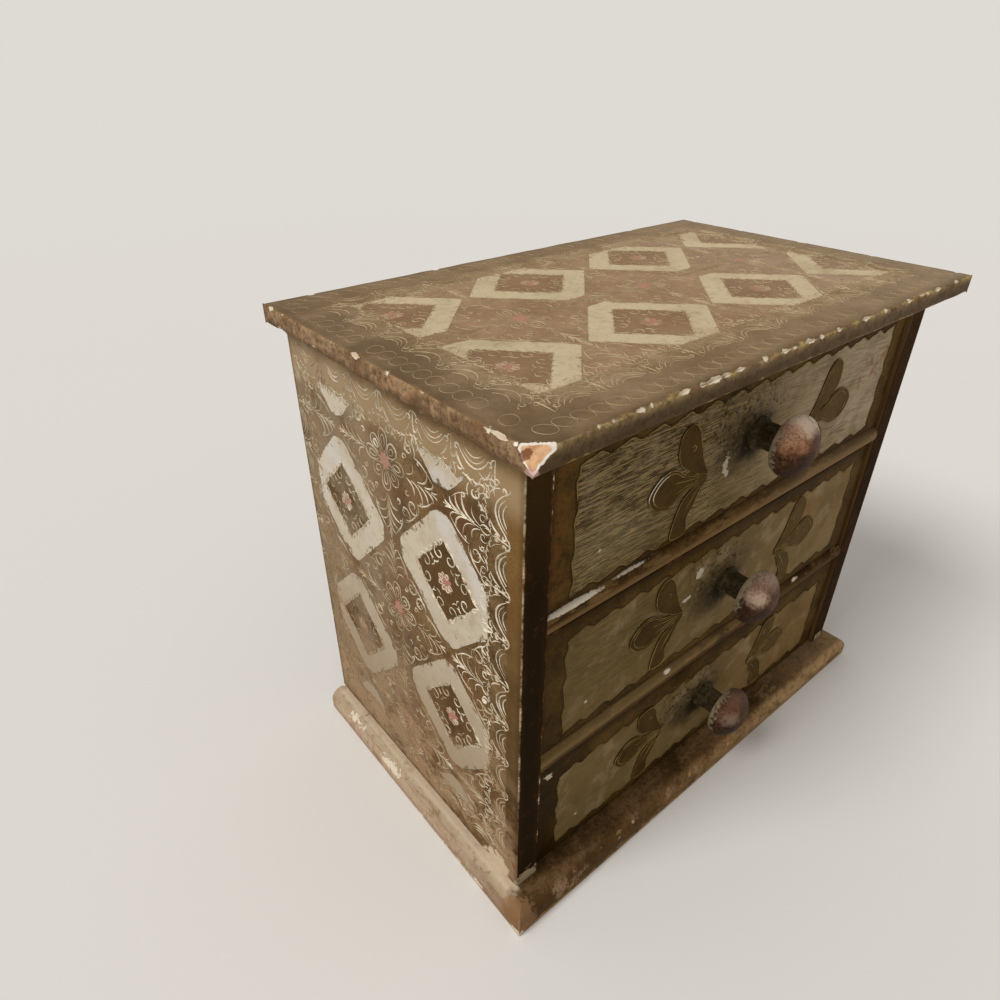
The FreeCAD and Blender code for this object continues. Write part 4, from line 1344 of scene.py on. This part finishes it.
def knob_grime_and_shadow(place, colour, middle):
    """A dark patch by the knob, a painted shadow under it, and specks of grime from fingers up and
    to its left.
    """
    far = place.far_from((-7, 0, middle - 1), (15, FLAT, 11))
    dark_patch = (far + (place.noise(5, 4, 0.7) - 0.5) * 1.3).below(0.4, 1.2)
    colour.lay(dark_patch * 0.75, "41341f")
    # painted shadow under the knob
    under = place.far_from((-2, 0, middle - 2), (9, FLAT, 6.5)) + (place.noise(5, 4, 0.7) - 0.5)
    colour.lay(under.below(0.4, 1.1) * 0.9, "1d150b")
    wide = place.far_from((-9, 0, middle + 7), (19, FLAT, 13))
    cover = (wide + (place.noise(6, 3, 0.6) - 0.5) * 1.6).below(0.6, 1.1)
    specks = place.patches(1.7, 0.5, 0.6, 5, 0.8)
    colour.lay(cover * specks * 0.85, "30281a")
    pale = place.patches(2.3, 0.6, 0.66, 5, 0.8) * cover
    colour.lay(pale * 0.6, "9a9078")


# where the paint has flaked off: across, over the knob's middle, and how far that reaches
FLAKES = {
    "top_drawer": ((-13.6, -5.6, 1.1, 3.0), (-12.4, -9, 0.7, 1.2)),
    "middle_drawer": ((-16.5, 10.5, 1.5, 1.8), (-21, 3, 2.2, 0.8)),
    "bottom_drawer": ((4, -3, 2.2, 2.6), (-76, 18, 1.6, 1.2)),
}


def leaf_finish():
    finish, place, x, y, z = begin("Gilded leaves")
    colour, rough, height = finish.gilding(0.15, colours().leaf, "30220b")
    colour.lay(x.between(15, 45) * 0.4, "6c5636")
    dry = place.patches(3, 0.55, 0.66, 4) * x.between(-20, 40)
    colour.lay(dry * 0.4, "7b5f2e")
    return finish.done(colour, rough, height, 0.12, 0.15)


def line_finish():
    """The thin lines on the leaves, rubbed white on the upper left one."""
    finish = Finish("Leaf lines")
    place = finish.place
    dull = place.patches(4, 0.4, 0.6, 4)
    colour = (dull * 0.85).over("574320", "8f784a")
    white = finish.chip((-43.5, -45, 134.5), (6.5, 4, 3.4), 0.3)
    colour.lay(white, "d8cfbd")
    return finish.done(colour, 0.5)


def lay_leaves(drawer, root, field, face, leaf, line):
    """Three leaves on each side of the knob, with a line round each and veins in the middle one."""
    height = sizes().leaf_height
    outlines, strokes = [], []
    for side, start in ((-1, root[0]), (1, root[0] + 4.8)):

        def spread(points, side=side, start=start):
            return [(side * (start + x), root[1] + y) for x, y in points]

        for number, corners in enumerate(leaf_outlines()):
            lowest, highest = field[1] - 0.8, field[2] + 0.8
            fitted = [(x, max(lowest, min(highest, y))) for x, y in spread(corners)]
            outlines.append(smooth_loop(fitted))
            middle = Vector((sum(p[0] for p in fitted), sum(p[1] for p in fitted))) / len(fitted)
            for inset in (1.0, 0.84) if number == 1 else (1.0,):
                ring = [tuple(middle + (Vector(p) - middle) * inset) for p in outlines[-1]]
                strokes.append(ring + ring[:1])
        for far, bend in ((14.5, 2.6), (13.0, -0.9)):
            strokes.append(spread(sweep((1.5, 0.2), (8.0, 0.6 + bend * 0.3), (far, bend), 8)))
        strokes.append(spread(spiral(8.4, 10.8, 1.0, 0.7, 30, 300, 8)))
        strokes.append(spread(sweep((3.0, -2.2), (6.4, -5.2), (8.8, -9.8), 6)))
    leaves = mesh_of_curve(
        f"{drawer}_leaves",
        [[(x, z, 0, 1) for x, z in outline] for outline in outlines],
        closed=True,
        dimensions="2D",
        fill_mode="BOTH",
        extrude=height * 0.4,
        bevel_depth=height * 0.4,
        bevel_resolution=2,
        offset=-height * 0.4,
    )
    leaves.rotation_euler = (math.radians(90), 0, 0)
    leaves.location = (0, face * MM - height * 0.3, 0)
    finish_piece(leaves, f"{drawer}_leaves", drawer, leaf, 40)
    front = face - height / MM * 1.1

    def place(x, z):
        return (x, front, z)

    laid = by_hand(strokes, place, random.Random(root[1]), 0.0, 0.05)
    drawn_relief(f"{drawer}_leaf_lines", laid, drawer, line, 0.15 * MM)


class CHEST_OT_drawer_fronts(bpy.types.Operator):
    """Paints the drawer fronts and lays the gilded leaves on them"""

    bl_idname = "chest.drawer_fronts"
    bl_label = "Drawer fronts"

    def execute(self, context):
        leaf, line = leaf_finish(), line_finish()
        for drawer, (over, under, rise) in FRONT_BORDERS.items():
            low, high = box_mm(f"{drawer}_front")
            knob_low, knob_high = box_mm(f"{drawer}_knob")
            middle = (knob_low.z + knob_high.z) / 2
            field = (low.x + 8.7, low.z + under, high.z - over)
            dress_nodes(painted_front(drawer, low, high, middle, field), f"{drawer}_front")
            lay_leaves(drawer, (22.2, (low.z + high.z) / 2 + rise), field, low.y, leaf, line)
        return {"FINISHED"}


class CHEST_OT_drawer_boxes(bpy.types.Operator):
    """Finishes the bare wood of the drawer boxes"""

    bl_idname = "chest.drawer_boxes"
    bl_label = "Drawer boxes"

    def execute(self, context):
        c = colours()
        for label, stretch, parts in (
            ("Bare wood along the depth", (1.0, 0.04, 1.0), ("left_side", "right_side")),
            ("Bare wood along the width", (0.04, 1.0, 1.0), ("back", "bottom")),
        ):
            finish = Finish(label)
            wood, grain = finish.grain(c.bare_wood, "a87a4c", stretch)
            grime = finish.place.patches(18, 0.5, 0.72, 4, 0.65)
            material = finish.done((grime * 0.4).over("7d5a38", wood), 0.7, grain, 0.08)
            dress_nodes(material, *(f"{drawer}_{part}" for drawer in DRAWERS for part in parts))
        return {"FINISHED"}


class CHEST_OT_linings(bpy.types.Operator):
    """Lays a piece of felt in each drawer"""

    bl_idname = "chest.linings"
    bl_label = "Linings"

    def execute(self, context):
        c = colours()
        finish = Finish("Felt")
        place = finish.place
        nap = place.noise(0.45, 4, 0.75)
        pile = place.noise(9, 3, 0.6)
        colour = nap.between(0.35, 0.7).over("8c3234", c.lining)
        colour.lay(pile.between(0.45, 0.7) * 0.35, "3f1013")
        felt = finish.done(colour, 0.95, nap, 0.25)
        finish.shader.inputs["Sheen Weight"].default_value = 0.3
        finish.shader.inputs["Sheen Tint"].default_value = (0.75, 0.3, 0.26, 1)
        for drawer in DRAWERS:
            low, high = box_mm(f"{drawer}_lining")
            deselect()
            size = high - low
            bpy.ops.mesh.primitive_grid_add(x_subdivisions=76, y_subdivisions=45, size=1)
            sheet = bpy.context.object
            for vertex in sheet.data.vertices:
                x = low.x + 0.05 + (vertex.co.x + 0.5) * (size.x - 0.1)
                y = low.y + 0.05 + (vertex.co.y + 0.5) * (size.y - 0.1)
                lift = 0.12 * noise.noise(Vector((x * 0.06, y * 0.06, low.z)))
                vertex.co = Vector((x, y, high.z - 0.16 + lift)) * MM
            thick = sheet.modifiers.new("Thickness", "SOLIDIFY")
            thick.thickness = 0.6 * MM
            thick.offset = -1
            bpy.ops.object.modifier_apply(modifier=thick.name)
            finish_piece(sheet, f"{drawer}_felt", drawer, felt, 40)
            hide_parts(f"{drawer}_lining")
        return {"FINISHED"}


# the lights, how orange, pink and cream (worn rim with a painted highlight) each is, where its rear
# is chipped, and its painted highlight spot and how strong it is
KNOB_WEAR_AND_LIGHT = {
    "top_drawer": ("7d5641", 0.9, 0.7, 1.0, (-0.9, -0.35), (-1.0, 7.0), 0.8),
    "middle_drawer": ("7c5944", 0.25, 0.7, 0.3, (-0.7, 0.6), (-5.2, 3.9), 0.8),
    "bottom_drawer": ("4f3020", 0.2, 0.05, 0.05, (-0.8, 0.5), (-5.0, 3.0), 0.25),
}


def knob_outline(head):
    """Heights over the drawer front and radii: collar, neck, rear edge, round rim and dome."""
    rows = [(0.0, 5.0), (0.8, 5.0), (2.2, 4.0), (7.4, 4.0)]
    rim, widest = 3.6, 11.0
    for i in range(9):
        angle = math.radians(-40 + 82 * i / 8)
        rows.append((widest + rim * math.sin(angle), head - rim + rim * math.cos(angle)))
    dome, top = 10.875, 17.0
    for i in range(1, 8):
        angle = math.radians(42 + 48 * i / 8)
        rows.append((top - dome + dome * math.sin(angle), dome * math.cos(angle)))
    return rows + [(top, 0.0)]


def turned_knob(head, middle, face):
    """Draws a ring out along the knob's outline, and turns the whole to face forward."""
    deselect()
    rows = knob_outline(head)
    bpy.ops.mesh.primitive_circle_add(vertices=56, radius=rows[0][1] * MM, fill_type="NGON")
    knob = bpy.context.object
    bpy.ops.object.mode_set(mode="EDIT")
    bpy.ops.mesh.select_all(action="SELECT")
    for (start, wide), (end, narrow) in zip(rows, rows[1:]):
        step = {"value": (0, 0, (end - start) * MM)}
        bpy.ops.mesh.extrude_region_move(TRANSFORM_OT_translate=step)
        share = narrow / wide
        bpy.ops.transform.resize(value=(share, share, 1), center_override=(0, 0, end * MM))
    bpy.ops.mesh.select_all(action="SELECT")
    bpy.ops.mesh.remove_doubles(threshold=1e-6)
    bpy.ops.mesh.normals_make_consistent(inside=False)
    bpy.ops.object.mode_set(mode="OBJECT")
    knob.rotation_euler = (math.radians(90), 0, 0)
    knob.location = (0, face * MM, middle * MM)
    return knob


def rubbed_knob_and_painted_light(drawer, middle, face):
    wear = KNOB_WEAR_AND_LIGHT[drawer]
    lights, orange_share, pink_share, cream_rim_and_highlight_share, chipped_side, highlight_spot, highlight_share = wear
    finish, place, x, y, z = begin(drawer.replace("_", " ").capitalize() + " knob")
    up, ahead = z - middle, face - y
    fine = place.noise(0.6, 5, 0.8)
    cloud = place.noise(4.5, 5, 0.7)
    mottle = place.noise(1.3, 5, 0.8)
    tone = (cloud * 0.3 + mottle * 0.4 + fine * 0.3).between(0.45, 0.57)
    colour = tone.over(lights, colours().knob)
    orange = (up * 0.7 - x * 0.75 + (cloud - 0.5) * 8).between(2.5, 6.0)
    colour.lay(orange * orange_share, "ad7653")
    pink = (up * 0.9 - x * 0.2 + (cloud - 0.5) * 8).between(2.0, 7.0)
    colour.lay(pink * pink_share * 0.8, "a98a74")
    # the cream on the upper right rim is worn pale paint with a painted highlight on it
    rim = (x * x + up * up).compute("SQRT").between(4.0, 7.4)
    bright = (up * 0.8 + x * 0.45 + (mottle - 0.5) * 10).between(3.8, 6.6)
    colour.lay(rim * bright * cream_rim_and_highlight_share, "d2bda6")
    dotted = fine.between(0.48, 0.58)
    colour.lay(dotted * 0.5 + mottle.between(0.5, 0.62) * 0.3, "38221a")
    shadow = (up * 0.85 + x * 0.4 + (cloud - 0.5) * 8).below(-4.0, 1.6)
    colour.lay(shadow * (mottle.between(0.38, 0.58) * 0.3 + 0.6), "24150b")
    # a painted highlight on the dome
    pale = place.far_from((highlight_spot[0], face - 16, middle + highlight_spot[1]), (3.0, FLAT, 2.6))
    pale = pale + (mottle - 0.5) * 2.4
    colour.lay(pale.below(0.3, 1.3) * highlight_share, "cbb19a")
    # the rear of the head is chipped to the gesso, and the neck is dark with grime
    rear = (ahead + (mottle - 0.5) * 9).below(10.0, 11.4) * (ahead - 7.6).between(0, 0.6)
    side = (x * chipped_side[0] + up * chipped_side[1] + (cloud - 0.5) * 14).between(2.0, 6.0)
    crumbs = fine.between(0.4, 0.56) * 0.5 + 0.5
    colour.lay(rear * side * crumbs * 0.9, "b0a183")
    neck = (ahead - 8.2).below(-0.4, 0.4)
    grimy = place.patches(1.8, 0.4, 0.65, 5, 0.75)
    colour.lay(neck * (1 - rear * side), grimy.over("564c37", "352a18"))
    height = fine + mottle * 0.6 - rear * side * 0.5
    return finish.done(colour, fine * 0.3 + 0.36, height, 0.3, gloss=0.08)


class CHEST_OT_knobs(bpy.types.Operator):
    """Turns the knobs and gives them their rubbed finish, with painted highlights and painted shade
    """

    bl_idname = "chest.knobs"
    bl_label = "Knobs"

    def execute(self, context):
        for drawer in DRAWERS:
            low, high = box_mm(f"{drawer}_knob")
            centre = (low + high) / 2
            knob = turned_knob(high.x, centre.z, high.y)
            material = rubbed_knob_and_painted_light(drawer, centre.z, high.y)
            finish_piece(knob, f"{drawer}_turned_knob", drawer, material, 35)
            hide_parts(f"{drawer}_knob")
        return {"FINISHED"}


def studio_floor():
    """A pale floor that keeps the chest's shadow and runs evenly into the surroundings."""
    deselect()
    bpy.ops.mesh.primitive_plane_add(size=12, location=(0, 0, -0.0002))
    floor = bpy.context.object
    floor.name = "floor"
    finish = Finish("Floor")
    backdrop = colours().backdrop
    cloud = finish.place.noise(300, 2)
    pale = (cloud * 0.15).over("d2cdc6", backdrop)
    far = finish.place.far_from((0, 0, 0), (1, 1, 1)).between(300, 1300)
    seen = node(finish.tree, "LightPath", {}, out="Is Camera Ray")
    glow = far * seen
    dress(floor, finish.done(glow.over((0, 0, 0), pale), 0.9, gloss=0))
    plug(finish.shader.inputs["Emission Color"], glow.over(backdrop, (0, 0, 0)))
    finish.shader.inputs["Emission Strength"].default_value = 1


def sun_lamp():
    """One soft sun from the left, a little behind the chest."""
    lamp = bpy.data.objects.new("Key", bpy.data.lights.new("Key", "SUN"))
    bpy.context.scene.collection.objects.link(lamp)
    lamp.data.energy = 2.1
    lamp.data.angle = math.radians(24)
    lamp.location = (-0.80, 0.12, 0.95)
    lamp.rotation_euler = (-lamp.location).to_track_quat("-Z", "Y").to_euler()


def surroundings(scene, strength):
    world = bpy.data.worlds.new("Pale studio")
    world.use_nodes = True
    scene.world = world
    tree = world.node_tree
    background = tree.nodes["Background"]
    path = tree.nodes.new("ShaderNodeLightPath")
    seen = Flow(tree, path.outputs["Is Camera Ray"])
    for name in ("Is Glossy Ray", "Is Transmission Ray"):
        seen = seen.max(Flow(tree, path.outputs[name]))
    plug(background.inputs["Color"], seen.over(colours().backdrop, (1.0, 0.985, 0.96)))
    plug(background.inputs["Strength"], seen * (1 - strength) + strength)


# the camera that was fitted to the chest's edges in the photograph: lens in mm, place in
# metres, and how far it looks down and to the right, in radians
CAMERA_LENS = 25.643
CAMERA_PLACE = (-0.17088, -0.13773, 0.22718)
CAMERA_DOWN, CAMERA_RIGHT = 0.5621, 0.6884


class CHEST_OT_studio(bpy.types.Operator):
    """Sets the floor, the lamp, the pale surroundings and the camera"""

    bl_idname = "chest.studio"
    bl_label = "Studio"

    def execute(self, context):
        scene = context.scene
        studio_floor()
        sun_lamp()
        surroundings(scene, 0.5)
        camera = bpy.data.objects.new("Camera", bpy.data.cameras.new("Camera"))
        scene.collection.objects.link(camera)
        camera.data.lens = CAMERA_LENS
        camera.data.sensor_width = 36
        camera.data.clip_start = 0.01
        camera.location = CAMERA_PLACE
        camera.rotation_euler = (math.pi / 2 - CAMERA_DOWN, 0, -CAMERA_RIGHT)
        scene.camera = camera
        scene.view_settings.view_transform = "Standard"
        return {"FINISHED"}


class CHEST_PT_workshop(bpy.types.Panel):
    """The chest's pieces, sizes and colours"""

    bl_label = "Gilded chest"
    bl_idname = "CHEST_PT_workshop"
    bl_space_type = "VIEW_3D"
    bl_region_type = "UI"
    bl_category = "Chest"

    def draw(self, context):
        for piece in PIECES:
            self.layout.operator(piece.bl_idname)
        for group in (context.scene.chest_sizes, context.scene.chest_colours):
            column = self.layout.column()
            for name in group.__annotations__:
                column.prop(group, name)


PIECES = (
    CHEST_OT_studio,
    CHEST_OT_case_sides,
    CHEST_OT_top_board,
    CHEST_OT_base_board,
    CHEST_OT_dividers,
    CHEST_OT_back,
    CHEST_OT_drawer_fronts,
    CHEST_OT_drawer_boxes,
    CHEST_OT_linings,
    CHEST_OT_knobs,
)
CLASSES = (ChestColours, ChestSizes, *PIECES, CHEST_PT_workshop)


def register():
    for item in CLASSES:
        bpy.utils.register_class(item)
    bpy.types.Scene.chest_colours = bpy.props.PointerProperty(type=ChestColours)
    bpy.types.Scene.chest_sizes = bpy.props.PointerProperty(type=ChestSizes)


def unregister():
    del bpy.types.Scene.chest_sizes
    del bpy.types.Scene.chest_colours
    for item in reversed(CLASSES):
        bpy.utils.unregister_class(item)


def main():
    register()
    bpy.ops.chest.studio()
    bpy.ops.chest.case_sides()
    bpy.ops.chest.top_board()
    bpy.ops.chest.base_board()
    bpy.ops.chest.dividers()
    bpy.ops.chest.back()
    bpy.ops.chest.drawer_fronts()
    bpy.ops.chest.drawer_boxes()
    bpy.ops.chest.linings()
    bpy.ops.chest.knobs()


if __name__ == "__main__":
    main()
